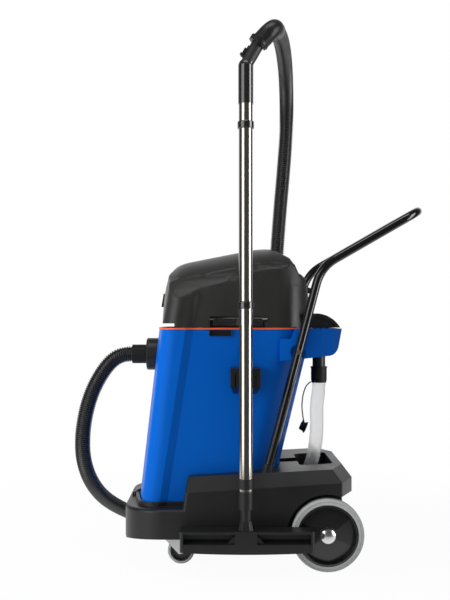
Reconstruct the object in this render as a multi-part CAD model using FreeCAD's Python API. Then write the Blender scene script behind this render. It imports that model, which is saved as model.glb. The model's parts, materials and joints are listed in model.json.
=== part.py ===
import FreeCAD, Part
import math
import os

V = FreeCAD.Vector
X_AXIS = V(1, 0, 0)
Y_AXIS = V(0, 1, 0)
Z_AXIS = V(0, 0, 1)

# Frame: X runs from the front to the rear, Y from the tool side to the hose side, Z up.
# The origin is on the floor in the trolley's middle plane, midway between the rear axle
# and the casters' swivel axes. All sizes are millimetres.

# Clearances
running_gap = 0.05
loose_gap = 1.0

# Trolley
wheelbase = 432.0
trolley_front_x = -346.0
trolley_rear_x = 294.0
trolley_half_width = 240.0
trolley_wall = 4.0
trolley_front_corner_r = 110.0
trolley_rear_chamfer_x = 38.0
trolley_rear_chamfer_y = 90.0
trolley_bevel = 25.0
trolley_soft_r = 9.0
trolley_rear_soft_r = 5.0
skirt_nose_r = 16.0
skirt_nose_z = 72.0
skirt_front_z = 55.0
skirt_side_rise = 33.0
ledge_z = 169.0
ledge_rim_height = 12.0
ledge_rim_width = 9.0
ledge_back_x = -181.0
ledge_riser_run = 14.0
crease_front_z = 216.0
crease_rear_z = 242.0
deck_front_z = 255.0
deck_rear_z = 277.0
deck_front_x = -160.0
deck_rear_x = 257.0
rear_lip_z = 205.0
well_floor_z = 146.0
well_gap = 3.0
recess_front_x = 150.0
recess_rear_x = 246.0
recess_half_width = 112.0
recess_floor_z = 168.0
recess_corner_r = 18.0
drain_channel_half_width = 34.0
drain_channel_floor_z = 162.0

# Rear wheels and axle
wheel_r = 100.0
wheel_width = 40.0
wheel_mid_y = 230.0
tyre_thickness = 16.0
tyre_groove_width = 3.0
tyre_groove_depth = 1.5
tyre_shoulder = [(94.0, 20.0), (97.6, 18.0), (99.5, 14.0), (100.0, 9.0)]
wheel_arch_gap = 11.0
wheel_side_gap = 4.0
axle_r = 10.0
axle_z = wheel_r
hub_boss_r = 24.0
hub_web_thickness = 6.0
hub_rim_wall = 6.0
hub_facet_count = 6
hub_facet_turn = 35.0
hub_facet_edge = 2.0
hub_facet_rise = 15.0
wheel_cap_r = 20.0
wheel_cap_height = 9.0
washer_thickness = 2.0
axle_boss_r = 19.0

# Casters
caster_r = 37.5
caster_width = 25.0
caster_mid_y = 143.0
caster_trail = 28.0
caster_tyre_thickness = 7.5
caster_hub_boss_r = 11.0
caster_axle_r = 4.0
caster_fork_gap = 2.0
caster_fork_sheet = 2.5
caster_height = 96.0
caster_plate_size = 70.0
caster_plate_sheet = 3.0
caster_race_r = 21.0
caster_race_height = 7.0
kingpin_r = 6.0

# Tank
seam_z = 661.0
tank_bottom_z = 150.0
tank_wall = 4.0
seam_front_x = -257.0
seam_rear_x = 189.0
front_lean = 0.116
rear_lean = 0.243
seam_half_width = 194.0
bottom_half_width = 184.0
column_step = 8.0
column_step_run = 22.0
seam_column_x = -174.0
column_lean = 0.152
front_corner_r = 44.0
rear_corner_r = 110.0
rear_narrowing = 10.0
front_crown = 14.0
tank_foot_bevel = 14.0
grip_slot_x = -77.0
grip_slot_length = 64.0
grip_slot_height = 17.0
grip_slot_depth = 12.0

# Seal
seal_height = 5.0
seal_width = 9.0
seal_proud = 1.0

# Head
head_front_gap = 12.0
head_front_recess = 52.0
head_wall = 3.5
head_front_lean = 0.165
head_side_lean = 0.10
head_front_top_r = 62.0
head_slope = 0.2
head_slope_end_x = -22.0
head_slope_end_z = 886.0
head_crest_x = 50.0
head_crest_z = 898.0
head_back_outline = [(134.0, 868.0), (146.0, 841.0), (168.0, 814.0), (177.0, 747.0), (168.0, 600.0)]
head_dome_r = 12.0
head_arch_x = 60.0
head_arch_reach = 300.0
head_arch_rise = 0.19
head_arch_top_z = 897.0
head_arch_floor_z = 440.0
head_arch_points = [(250.0, 700.0), (176.0, 812.0), (172.0, 818.0), (147.0, 846.0)]
head_arch_shares = [(1.0, 0.0), (1.0, 0.0), (1.0, 0.6), (0.5, 0.7)]
head_base_sheet = 5.0
head_lip_sheet = 4.0
head_panel_top_z = 796.0
exhaust_slot_count = 12
exhaust_slot_pitch = 12.0
exhaust_slot_width = 6.0
switch_z = 745.0
switch_width = 46.0
switch_height = 30.0
switch_frame = 5.0
rocker_width = 30.0
rocker_height = 18.0
gland_z = 775.0
gland_y = 0.0
gland_r = 9.0
gland_bore_r = 4.0

# Motor unit in the head
motor_x = -45.0
motor_r = 72.0
motor_wall = 3.0
motor_top_z = 842.0
motor_eye_r = 34.0
impeller_r = 62.0
impeller_height = 14.0
impeller_blade_count = 7
rotor_r = 34.0
rotor_length = 52.0
shaft_r = 5.0
bearing_r = 13.0
bearing_height = 9.0

# Filter and float under the head
filter_r = 88.0
filter_wall = 18.0
filter_height = 118.0
filter_cap = 7.0
cage_r = 48.0
cage_wall = 3.0
cage_height = 104.0
cage_window_count = 6
float_r = 33.0
float_travel = 25.0

# Latches
latch_x = -28.0
latch_recess_length = 158.0
latch_recess_height = 31.0
latch_recess_depth = 18.0
latch_recess_slant = 10.0
latch_length = 136.0
latch_plate = 6.0
latch_pin_r = 2.5
latch_pin_z = 690.0
latch_pin_inset = 9.0

# Rear tray and what hangs from it
tray_front_x = 89.0
tray_rear_x = 268.0
tray_half_width = 182.0
tray_rim_z = 663.0
tray_wall = 4.0
tray_crease_x = 209.0
tray_crease_step = 4.0
tray_corner_x = 240.0
tray_corner_step = 9.0
tray_corner_cut = 44.0
tray_corner_r = 12.0
tray_block_top_z = 635.0
tray_step_x = 120.0
tray_fix_z = 598.0
tray_fix_r = 21.0
tray_fix_depth = 8.0
tool_socket_r = 19.0
tool_socket_wall = 3.0
tool_socket_x = 222.0
tool_socket_y = 62.0
tool_socket_depth = 58.0
drain_x = 217.0
drain_stub_r = 19.0
drain_stub_z = 549.0
drain_cuff_r = 23.5
drain_cuff_bottom_z = 508.0
drain_hose_r = 20.0
drain_hose_bore_r = 17.0
drain_outlet_z = 196.0
drain_outlet_bore_r = 16.0
strap_r = 2.0
stopper_r = 15.0

# Cord hook behind the head
hook_front_x = 158.0
hook_rear_x = 262.0
hook_top_z = 706.0
hook_half_width = 150.0
hook_width = 30.0
hook_band = 11.0
hook_wall = 3.5
hook_rim_width = 6.0
hook_web = 3.0
hook_web_inset = 3.0

# Inlet
inlet_z = 586.0
inlet_collar_r = 47.5
inlet_collar_length = 36.0
inlet_bore_r = 24.0
cuff_r = 28.0
cuff_length = 43.0
cuff_seat = 3.0
hose_r = 23.0
hose_bore_r = 19.0

# Wand and floor tool
wand_x = -9.0
wand_y = -285.0
wand_r = 19.0
wand_sheet = 1.2
wand_top_z = 1267.0
wand_bottom_z = 200.0
wand_joint_z = 736.0
wand_joint_overlap = 60.0
wand_plug_length = 40.0
tube_ring_r = 22.5
tube_ring_length = 20.0
upper_ring_top_z = 1220.0
lower_ring_top_z = 738.0
sleeve_r = 20.5
sleeve_top_z = 1371.0
bend_angle = 30.0
bend_tube_r = 17.5
bend_tube_sheet = 2.5
bend_tube_length = 92.0
bend_r = 60.0
slider_length = 24.0
slider_travel = 9.0
elbow_r = 25.0
elbow_rim_r = 27.5
elbow_bend_r = 30.0

# Wand clip on the tank
clip_z = 521.0
clip_height = 72.0
clip_width = 81.0
clip_jaw_wall = 9.0
clip_gap = 0.4

# Floor tool
tool_half_length = 179.0
tool_x = -6.0
tool_depth = 64.0
tool_bottom_z = 66.0
tool_top_z = 126.0
tool_bottom_rise = 5.0
tool_end_r = 8.0
tool_rim = 9.0
tool_lip_z = 92.0
tool_trough_rise = 9.0
tool_trough_top = 7.0
tool_core_half = 6.0
tool_neck_half = 27.0
tool_neck_top_half = 15.0
tool_neck_r = 15.5
tool_neck_top_z = 150.0
tool_sleeve_z = 180.0
tool_sleeve_top_z = 229.0
tool_bore_r = 12.5
tool_gusset = 28.0

# Catch that holds the tank's foot to the trolley
catch_x = -331.0
catch_z = 174.5
catch_half_width = 20.0
catch_pin_r = 2.5
catch_foot_r = 5.0
catch_top_z = 187.0
catch_lug = 6.0
catch_gap = 0.5

# Push handle
handle_tube_r = 12.5
handle_sheet = 2.0
handle_y = 197.0
handle_foot_x = 40.5
handle_foot_z = 220.0
handle_bend_x = 202.0
handle_bend_z = 834.0
handle_bend_r = 110.0
handle_tip_x = 481.5
handle_tip_z = 995.0
handle_corner_r = 62.0
handle_bolt_r = 3.0
handle_spacer_r = 9.0
handle_socket_top_z = 272.0
handle_collar_length = 16.0


def box(x0, x1, y0, y1, z0, z1):
    return Part.makeBox(x1 - x0, y1 - y0, z1 - z0, V(x0, y0, z0))


def rod(centre, axis, radius, length):
    return Part.makeCylinder(radius, length, centre, axis)


def ring(centre, axis, outer_r, inner_r, length):
    return rod(centre, axis, outer_r, length).cut(rod(centre, axis, inner_r, length))


def side_prism(points, y0, y1):
    """A side outline of X and Z points, extruded across the machine."""
    corners = [V(x, y0, z) for x, z in points]
    face = Part.Face(Part.makePolygon(corners + corners[:1]))
    return face.extrude(V(0, y1 - y0, 0))


def fuse(shapes):
    joined = shapes[0]
    for shape in shapes[1:]:
        joined = joined.fuse(shape)
    return joined.removeSplitter()


def both_sides(shape):
    """The same piece on the tool side and, mirrored, on the hose side."""
    return [shape, shape.mirror(V(0, 0, 0), Y_AXIS)]


def arc_through(start, middle, end):
    return Part.Arc(start, middle, end).toShape()


def corner_arc(start, corner, end, radius):
    """A quarter-like arc that rounds a right-angled corner of a plan outline."""
    centre = start + (end - corner)
    middle = centre + (corner - centre).normalize() * radius
    return arc_through(start, middle, end)


def route_wire(points, radii=None):
    """Straight runs joined by tangent arcs. Without radii each arc is as large as its runs allow."""
    count = len(points)
    edges = []
    used = []
    here = points[0]
    for i in range(1, count - 1):
        before = (points[i - 1] - points[i])
        after = (points[i + 1] - points[i])
        turn = math.pi - before.getAngle(after)
        if radii is None:
            radius = 0.45 * min(before.Length, after.Length) / math.tan(turn / 2)
        else:
            radius = radii[i - 1]
        reach = radius * math.tan(turn / 2)
        start = points[i] + V(before).normalize() * reach
        end = points[i] + V(after).normalize() * reach
        bisector = (V(before).normalize() + V(after).normalize()).normalize()
        middle = points[i] + bisector * (radius / math.cos(turn / 2) - radius)
        edges.append(Part.LineSegment(here, start).toShape())
        edges.append(arc_through(start, middle, end))
        used.append(round(radius, 1))
        here = end
    edges.append(Part.LineSegment(here, points[-1]).toShape())
    return Part.Wire(edges), used


def circle_wire(centre, normal, radius):
    return Part.Wire(Part.makeCircle(radius, centre, normal))


def swept_rod(wire, radius):
    start = wire.OrderedEdges[0]
    return wire.makePipeShell([circle_wire(start.valueAt(start.FirstParameter),
                                           start.tangentAt(start.FirstParameter), radius)],
                              True, False)


def swept_tube(wire, outer_r, inner_r):
    return swept_rod(wire, outer_r).cut(swept_rod(wire, inner_r))


# Body outline shared by the tank and the head

def column_x(z):
    return seam_column_x - column_lean * (seam_z - z)


def tank_front_x(z):
    return seam_front_x - front_lean * (seam_z - z)


def tank_rear_x(z):
    return seam_rear_x - rear_lean * (seam_z - z)


def half_width(z):
    slope = (seam_half_width - bottom_half_width) / (seam_z - tank_bottom_z)
    return seam_half_width - slope * (seam_z - z)


def plan_wire(z, front, rear, half, inset=0.0, step=column_step):
    """The body's section at one height: a crowned front column, a step, and sides that narrow."""
    front += inset
    rear -= inset
    half -= inset
    front_r = front_corner_r - inset
    rear_r = rear_corner_r - inset
    column_end = column_x(z)
    side = half - step
    rear_side = half - column_step - rear_narrowing
    step_end = column_end + column_step_run
    edges = []
    for sign in (-1, 1):
        a = V(front + front_crown, sign * (half - front_r), z)
        b = V(front + front_crown + front_r, sign * half, z)
        c = V(column_end, sign * half, z)
        d = V(step_end, sign * side, z)
        e = V(rear - rear_r, sign * rear_side, z)
        f = V(rear, sign * (rear_side - rear_r), z)
        half_edges = [corner_arc(a, V(a.x, b.y, z), b, front_r)]
        if step:
            half_edges += [Part.LineSegment(b, c).toShape(), Part.LineSegment(c, d).toShape(),
                           Part.LineSegment(d, e).toShape()]
        else:
            half_edges += [Part.LineSegment(b, e).toShape()]
        half_edges.append(corner_arc(e, V(f.x, e.y, z), f, rear_r))
        edges.append(half_edges)
    front_y = half - front_r
    rear_y = rear_side - rear_r
    crown = arc_through(V(front + front_crown, front_y, z), V(front, 0, z),
                        V(front + front_crown, -front_y, z))
    back = Part.LineSegment(V(rear, -rear_y, z), V(rear, rear_y, z)).toShape()
    return Part.Wire(edges[0] + [back] + edges[1][::-1] + [crown])


def tank_wire(z, inset=0.0):
    return plan_wire(z, tank_front_x(z), tank_rear_x(z), half_width(z), inset)


def tank_block(z0, z1, inset=0.0):
    return Part.makeLoft([tank_wire(z0, inset), tank_wire(z1, inset)], True, True)


# Trolley

def trolley_wire(half, front, rear, height_at):
    """Plan outline of the trolley, laid on a plane that slopes along X."""
    r = trolley_front_corner_r - (trolley_half_width - half)
    near_chamfer_x = rear - trolley_rear_chamfer_x
    flat_y = half - trolley_rear_chamfer_y

    def at(x, y):
        return V(x, y, height_at(x))

    diagonal = r * (1 - math.sqrt(0.5))
    return Part.Wire([
        arc_through(at(front, -(half - r)), at(front + diagonal, -(half - diagonal)),
                    at(front + r, -half)),
        Part.LineSegment(at(front + r, -half), at(near_chamfer_x, -half)).toShape(),
        Part.LineSegment(at(near_chamfer_x, -half), at(rear, -flat_y)).toShape(),
        Part.LineSegment(at(rear, -flat_y), at(rear, flat_y)).toShape(),
        Part.LineSegment(at(rear, flat_y), at(near_chamfer_x, half)).toShape(),
        Part.LineSegment(at(near_chamfer_x, half), at(front + r, half)).toShape(),
        arc_through(at(front + r, half), at(front + diagonal, half - diagonal),
                    at(front, half - r)),
        Part.LineSegment(at(front, half - r), at(front, -(half - r))).toShape(),
    ])


def sloped(front_z, rear_z, drop):
    def height_at(x):
        share = (x - deck_front_x) / (deck_rear_x - deck_front_x)
        return front_z + (rear_z - front_z) * share - drop
    return height_at


def trolley_form(inset):
    """The outer form of the trolley, or the hollow under it when inset by the wall."""
    half = trolley_half_width - inset
    front = trolley_front_x + inset
    rear = trolley_rear_x - inset
    crease = sloped(crease_front_z, crease_rear_z, inset)
    deck = sloped(deck_front_z, deck_rear_z, inset)
    bevel = trolley_bevel
    form = Part.makeLoft([
        trolley_wire(half, front, rear, sloped(0.0, 0.0, inset - 30.0)),
        trolley_wire(half, front, rear, crease),
        trolley_wire(half - bevel, front + bevel, rear - bevel, deck),
    ], True, True)
    back = ledge_back_x + inset
    ledge = side_prism([(-500, ledge_z - inset), (back, ledge_z - inset),
                        (back + ledge_riser_run, deck_front_z),
                        (back + 2 * ledge_riser_run, 400), (-500, 400)], -400, 400)
    form = form.cut(ledge)
    return form if inset else round_trolley(form)


def round_trolley(form):
    """Rounds the ledge, its riser, and the rear corners with the deck's rim there."""
    front = []
    for edge in form.Edges:
        bound = edge.BoundBox
        at_riser_foot = bound.XMin > ledge_back_x - 1 and bound.ZMax < ledge_z + 1
        if bound.ZMin > ledge_z - 1 and bound.XMax < deck_front_x and not at_riser_foot:
            front.append(edge)
    form = form.makeFillet(trolley_soft_r, front)
    rear = [edge for edge in form.Edges
            if edge.BoundBox.XMin > recess_rear_x - trolley_bevel
            and edge.BoundBox.ZMax - edge.BoundBox.ZMin > trolley_bevel]
    return form.makeFillet(trolley_rear_soft_r, rear)


def wheel_arches(grow):
    radius = wheel_r + wheel_arch_gap + grow
    inner_y = wheel_mid_y - wheel_width / 2 - wheel_side_gap - grow
    arch = rod(V(wheelbase / 2, -400, axle_z), Y_AXIS, radius, 400 - inner_y)
    lip = box(wheelbase / 2, 500, -400, -inner_y, -50, rear_lip_z + grow)
    return fuse(both_sides(arch.fuse(lip)))


def rear_step(grow):
    """The space under the rear lip, behind the axle housing."""
    return box(trolley_rear_x - 36 - grow, 500, -400, 400, -50, rear_lip_z + grow)


def tank_well(grow):
    return tank_block(well_floor_z - grow, deck_rear_z + 60, -(well_gap + grow))


def recess_block(grow, floor):
    x0 = recess_front_x - grow
    x1 = recess_rear_x + grow
    half = recess_half_width + grow
    block = box(x0, x1, -half, half, floor, deck_rear_z + 60)
    uprights = [edge for edge in block.Edges
                if abs(edge.tangentAt(edge.FirstParameter).z) > 0.99]
    return block.makeFillet(recess_corner_r + grow, uprights)


def drain_channel(grow):
    """Open channel from the tank's well to the deck recess, where the drain hose runs."""
    half = drain_channel_half_width + grow
    return box(tank_rear_x(drain_outlet_z) - 20, recess_front_x + 5 - grow, -half, half,
               drain_channel_floor_z - grow, deck_rear_z + 60)


def skirt_wedges():
    """Everything below the skirt's edge, which rises from the middle to both sides."""
    rise = skirt_side_rise / trolley_half_width
    wedge = Part.Face(Part.makePolygon([
        V(-600, 0, -200), V(-600, 0, skirt_front_z),
        V(-600, -400, skirt_front_z + 400 * rise), V(-600, -400, -200), V(-600, 0, -200)]))
    return fuse(both_sides(wedge.extrude(V(1200, 0, 0))))


def skirt_nose():
    """What lies outside the rounded lower front corner of the skirt."""
    r = skirt_nose_r
    x = trolley_front_x
    corner = box(x - 5, x + r, -400, 400, -10, skirt_nose_z + r)
    return corner.cut(rod(V(x + r, -400, skirt_nose_z + r), Y_AXIS, r, 800))


def trolley_shell():
    outer = trolley_form(0.0)
    for pocket in (wheel_arches(0.0), rear_step(0.0), tank_well(0.0),
                   recess_block(0.0, recess_floor_z), drain_channel(0.0), skirt_wedges(),
                   skirt_nose()):
        outer = outer.cut(pocket)
    hollow = trolley_form(trolley_wall)
    for pocket in (wheel_arches(trolley_wall), rear_step(trolley_wall), tank_well(trolley_wall),
                   recess_block(trolley_wall, recess_floor_z - trolley_wall),
                   drain_channel(trolley_wall)):
        hollow = hollow.cut(pocket)
    shell = outer.cut(hollow)
    rim = tank_block(ledge_z - 2, ledge_z + ledge_rim_height, -(well_gap + ledge_rim_width))
    rim = rim.common(box(-500, ledge_back_x, -400, 400, 0, 400)).cut(tank_well(0.0))
    notch = catch_half_width + 2 * catch_lug
    rim = rim.cut(box(-500, 0, -notch, notch, 0, 400))
    return shell.fuse(rim)


def handle_foot_point(z):
    share = (z - handle_foot_z) / (handle_bend_z - handle_foot_z)
    return handle_foot_x + share * (handle_bend_x - handle_foot_x)


def axle_housing():
    """A cross bearer that holds the axle between the wheel arches."""
    half = wheel_mid_y - wheel_width / 2 - wheel_side_gap
    x = wheelbase / 2
    bearer = rod(V(x, -half, axle_z), Y_AXIS, axle_boss_r, 2 * half)
    web = box(x - 3, x + 3, -half + 2, half - 2, axle_z, recess_floor_z - trolley_wall + 1)
    return bearer.fuse(web)


def caster_pads():
    x = -wheelbase / 2
    half = caster_plate_size / 2
    pads = []
    for sign in (-1, 1):
        y = sign * caster_mid_y
        pads.append(box(x - half, x + half, y - half, y + half, caster_height,
                        well_floor_z - trolley_wall + 1))
    return pads


handle_lean = V(handle_bend_x - handle_foot_x, 0, handle_bend_z - handle_foot_z).normalize()


def handle_foot(sign):
    return V(handle_foot_x, sign * handle_y, handle_foot_z)


def handle_sockets():
    """Closed sleeves that the handle's legs stand in."""
    length = (handle_socket_top_z - handle_foot_z) / handle_lean.z
    return [rod(handle_foot(sign) - handle_lean * 20, handle_lean, handle_tube_r + 4, length + 20)
            for sign in (-1, 1)]


def handle_bores():
    return [rod(handle_foot(sign), handle_lean, handle_tube_r, 200) for sign in (-1, 1)]


def catch_lugs():
    lugs = []
    for side in (-1, 1):
        y0 = side * (catch_half_width + catch_gap)
        y1 = side * (catch_half_width + catch_gap + catch_lug)
        lugs.append(box(catch_x - 6, catch_x + 6, min(y0, y1), max(y0, y1), ledge_z - 2,
                        catch_z + 5))
    return lugs


def trolley():
    body = trolley_shell().fuse(axle_housing())
    for piece in caster_pads() + handle_sockets() + catch_lugs():
        body = body.fuse(piece)
    body = body.cut(tank_well(0.0))
    body = body.cut(rod(V(catch_x, -60, catch_z), Y_AXIS, catch_pin_r, 120))
    for bore in handle_bores():
        body = body.cut(bore)
    return body.cut(rod(V(wheelbase / 2, -400, axle_z), Y_AXIS, axle_r, 800))


# Rear wheels

def hub_facets(centre, sign):
    """Flat-sided cone between the boss and the rim, whose edges fan out like spokes."""
    sections = []
    for reach, rise in ((wheel_r, hub_facet_edge), (hub_boss_r, hub_facet_rise)):
        points = []
        for i in range(hub_facet_count):
            turn = math.radians(hub_facet_turn + 360.0 * i / hub_facet_count)
            points.append(centre + V(reach * math.cos(turn), sign * rise, reach * math.sin(turn)))
        sections.append(Part.makePolygon(points + points[:1]))
    return Part.makeLoft(sections, True, True)


def wheel_hub(sign):
    """Hub of a rear wheel: rim, a web with a faceted face outside, and a boss on the axle."""
    rim_r = wheel_r - tyre_thickness
    centre = V(wheelbase / 2, sign * wheel_mid_y, axle_z)
    outward = Y_AXIS * sign
    start = centre - outward * (wheel_width / 2)
    rim = ring(start, outward, rim_r, rim_r - hub_rim_wall, wheel_width)
    web_r = rim_r - hub_rim_wall + 1
    web = rod(centre - outward * (hub_web_thickness / 2), outward, web_r, hub_web_thickness)
    face = hub_facets(centre, sign).common(rod(centre, outward, web_r, wheel_width))
    boss = rod(start, outward, hub_boss_r, wheel_width)
    hub = fuse([rim, web, face, boss])
    return hub.cut(rod(start - outward, outward, axle_r + running_gap, wheel_width + 2))


def wheel_tyre(sign):
    centre = V(wheelbase / 2, sign * wheel_mid_y, axle_z)
    half = wheel_width / 2
    inner = wheel_r - tyre_thickness
    groove_r = (inner + wheel_r) / 2
    g = tyre_groove_width / 2
    profile = [(inner, -half)] + [(r, -y) for r, y in tyre_shoulder]
    profile += [(r, y) for r, y in reversed(tyre_shoulder)]
    profile += [(groove_r + g, half), (groove_r, half - tyre_groove_depth), (groove_r - g, half),
                (inner, half)]
    corners = [V(wheelbase / 2 + r, sign * (wheel_mid_y + y), axle_z) for r, y in profile]
    face = Part.Face(Part.makePolygon(corners + corners[:1]))
    return face.revolve(centre, Y_AXIS, 360)


def wheel_cap(sign):
    """Domed chrome cap pushed on the axle's end: a slice of a ball over a short cylinder."""
    start = wheel_mid_y + wheel_width / 2 + washer_thickness
    rise = wheel_cap_height - washer_thickness
    ball_r = (wheel_cap_r ** 2 + rise ** 2) / (2 * rise)
    x = wheelbase / 2
    ball = Part.makeSphere(ball_r, V(x, start + wheel_cap_height - ball_r, axle_z))
    cap = rod(V(x, start, axle_z), Y_AXIS, wheel_cap_r, wheel_cap_height + 1).common(ball)
    cap = cap.cut(rod(V(x, 0, axle_z), Y_AXIS, axle_r, start + 4))
    return cap if sign > 0 else cap.mirror(V(0, 0, 0), Y_AXIS)


def rear_axle():
    half = wheel_mid_y + wheel_width / 2 + washer_thickness + 4
    return rod(V(wheelbase / 2, -half, axle_z), Y_AXIS, axle_r, 2 * half)


# Casters

def caster_place(sign):
    return V(-wheelbase / 2, sign * caster_mid_y, 0)


def caster_plate(sign):
    at = caster_place(sign)
    half = caster_plate_size / 2
    top = caster_height
    plate = box(at.x - half, at.x + half, at.y - half, at.y + half,
                top - caster_plate_sheet, top)
    race = rod(V(at.x, at.y, top - caster_plate_sheet - caster_race_height / 2), Z_AXIS,
               caster_race_r, caster_race_height / 2)
    pin = rod(V(at.x, at.y, top - caster_plate_sheet - caster_race_height - 7), Z_AXIS,
              kingpin_r, caster_race_height + 7)
    head = rod(V(at.x, at.y, top - caster_plate_sheet - caster_race_height - 9), Z_AXIS,
               kingpin_r + 3, 3)
    return fuse([plate, race, pin, head])


def caster_fork(sign):
    at = caster_place(sign)
    race_top = caster_height - caster_plate_sheet - caster_race_height / 2 - 0.4
    race_bottom = caster_height - caster_plate_sheet - caster_race_height
    half = caster_width / 2 + caster_fork_gap + caster_fork_sheet
    race = rod(V(at.x, at.y, race_bottom), Z_AXIS, caster_race_r + 2, race_top - race_bottom)
    wheel_x = at.x + caster_trail
    crown = box(at.x - 20, at.x + 24, at.y - half, at.y + half,
                race_bottom - caster_fork_sheet, race_bottom)
    cheek_outline = [(at.x - 20, race_bottom), (at.x + 24, race_bottom),
                     (wheel_x + 9, caster_r + 6), (wheel_x + 7, caster_r - 7),
                     (wheel_x - 6, caster_r - 9), (at.x - 20, race_bottom - 12)]
    cheeks = side_prism(cheek_outline, at.y - half, at.y - half + caster_fork_sheet).fuse(
        side_prism(cheek_outline, at.y + half - caster_fork_sheet, at.y + half))
    fork = fuse([race, crown, cheeks])
    pin_hole = rod(V(at.x, at.y, 0), Z_AXIS, kingpin_r + running_gap, 200)
    axle_hole = rod(V(wheel_x, at.y - 50, caster_r), Y_AXIS, caster_axle_r, 100)
    return fork.cut(pin_hole).cut(axle_hole)


def caster_axle(sign):
    at = caster_place(sign)
    half = caster_width / 2 + caster_fork_gap + caster_fork_sheet
    centre = V(at.x + caster_trail, at.y, caster_r)
    shaft = rod(centre - Y_AXIS * half, Y_AXIS, caster_axle_r, 2 * half)
    heads = [rod(centre + Y_AXIS * half, Y_AXIS, 6.5, 4),
             rod(centre - Y_AXIS * (half + 4), Y_AXIS, 6.5, 4)]
    return fuse([shaft] + heads)


def caster_hub(sign):
    at = caster_place(sign)
    centre = V(at.x + caster_trail, at.y, caster_r)
    rim_r = caster_r - caster_tyre_thickness
    start = centre - Y_AXIS * (caster_width / 2)
    rim = ring(start, Y_AXIS, rim_r, rim_r - 4, caster_width)
    web = rod(centre - Y_AXIS * 3, Y_AXIS, rim_r - 2, 6)
    boss = rod(start - Y_AXIS, Y_AXIS, caster_hub_boss_r, caster_width + 2)
    hub = fuse([rim, web, boss])
    return hub.cut(rod(centre - Y_AXIS * 40, Y_AXIS, caster_axle_r + running_gap, 80))


def caster_tyre(sign):
    at = caster_place(sign)
    half = caster_width / 2
    inner = caster_r - caster_tyre_thickness
    profile = [(inner, -half), (caster_r - 4, -half), (caster_r, -half + 4),
               (caster_r, half - 4), (caster_r - 4, half), (inner, half)]
    corners = [V(at.x + caster_trail + r, at.y + y, caster_r) for r, y in profile]
    face = Part.Face(Part.makePolygon(corners + corners[:1]))
    return face.revolve(V(at.x + caster_trail, at.y, caster_r), Y_AXIS, 360)


# Tank and what is on it

def tank():
    bevel = tank_foot_bevel
    outer = Part.makeLoft([tank_wire(tank_bottom_z, bevel), tank_wire(tank_bottom_z + bevel),
                           tank_wire(seam_z)], True, True)
    wall = tank_wall
    inner = Part.makeLoft([tank_wire(tank_bottom_z + wall, bevel + wall),
                           tank_wire(tank_bottom_z + bevel + wall, wall),
                           tank_wire(seam_z + 1, wall)], True, True)
    shell = outer.cut(inner)
    slot_y = half_width(seam_z) - column_step
    pockets = []
    for sign in (-1, 1):
        x0 = grip_slot_x - grip_slot_length / 2
        x1 = grip_slot_x + grip_slot_length / 2
        z1 = seam_z - 1.5
        z0 = z1 - grip_slot_height
        y_in = sign * (slot_y - grip_slot_depth)
        y_back = sign * (slot_y - grip_slot_depth - 3)
        y_out = sign * (slot_y + 4)
        y_wall = sign * (slot_y - 3)
        backing = box(x0 - 3, x1 + 3, min(y_back, y_wall), max(y_back, y_wall), z0 - 3, seam_z)
        shell = shell.fuse(backing)
        pockets.append(box(x0, x1, min(y_in, y_out), max(y_in, y_out), z0, z1))
    for pocket in pockets:
        shell = shell.cut(pocket)
    inlet_hole = rod(V(-400, 0, inlet_z), X_AXIS, inlet_bore_r + 6, 250)
    drain_hole = rod(V(0, 0, drain_outlet_z), X_AXIS, drain_hose_r + 2.5, 200)
    return shell.cut(inlet_hole).cut(drain_hole)


def seal_block(grow):
    """The seal's outer form, which stands a little proud of the tank."""
    proud = seal_proud + grow
    return Part.makeLoft([tank_wire(seam_z, -proud),
                          plan_wire(seam_z + seal_height, seam_front_x, seam_rear_x,
                                    half_width(seam_z), -proud)], True, True)


def seal():
    """Rubber ring clamped between the tank's rim and the head."""
    outer = seal_block(0.0)
    inner = Part.makeLoft([tank_wire(seam_z - 1, seal_width),
                           plan_wire(seam_z + seal_height + 1, seam_front_x, seam_rear_x,
                                     half_width(seam_z), seal_width)], True, True)
    return outer.cut(inner)


# Head

head_z = seam_z + seal_height


def head_front_x(z):
    return seam_front_x + head_front_lean * (z - head_z)


def head_wire(z, rear, inset):
    half = half_width(seam_z) - head_side_lean * (z - head_z)
    return plan_wire(z, head_front_x(z), rear, half, inset, 0.0)


def head_outline(inset):
    """Side outline of the head: a rounded front, a rising top and a stepped back."""
    front_dir = V(head_front_lean, 0, 1).normalize()
    top_dir = V(1, 0, head_slope).normalize()
    slope_end = V(head_slope_end_x, -400, head_slope_end_z - inset)
    line_x = seam_front_x + inset + head_front_lean * (slope_end.z - head_z)
    x = line_x - head_slope * head_front_lean * slope_end.x
    x /= 1 - head_slope * head_front_lean
    corner = V(x, -400, slope_end.z + head_slope * (x - slope_end.x))
    radius = head_front_top_r - inset
    turn = front_dir.getAngle(top_dir)
    reach = radius * math.tan(turn / 2)
    start = corner - front_dir * reach
    end = corner + top_dir * reach
    middle = corner + (top_dir - front_dir).normalize() * (radius / math.cos(turn / 2) - radius)
    foot = start - front_dir * ((start.z - 600) / front_dir.z)
    back = [V(x_back - inset, -400, z_back) for x_back, z_back in head_back_outline]
    back[0].z -= inset
    crest = V(head_crest_x, -400, head_crest_z - inset)
    edges = [Part.LineSegment(foot, start).toShape(), arc_through(start, middle, end),
             Part.LineSegment(end, slope_end).toShape(),
             arc_through(slope_end, crest, back[0])]
    edges += [Part.LineSegment(a, b).toShape() for a, b in zip(back, back[1:] + [foot])]
    return Part.Wire(edges)


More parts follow.
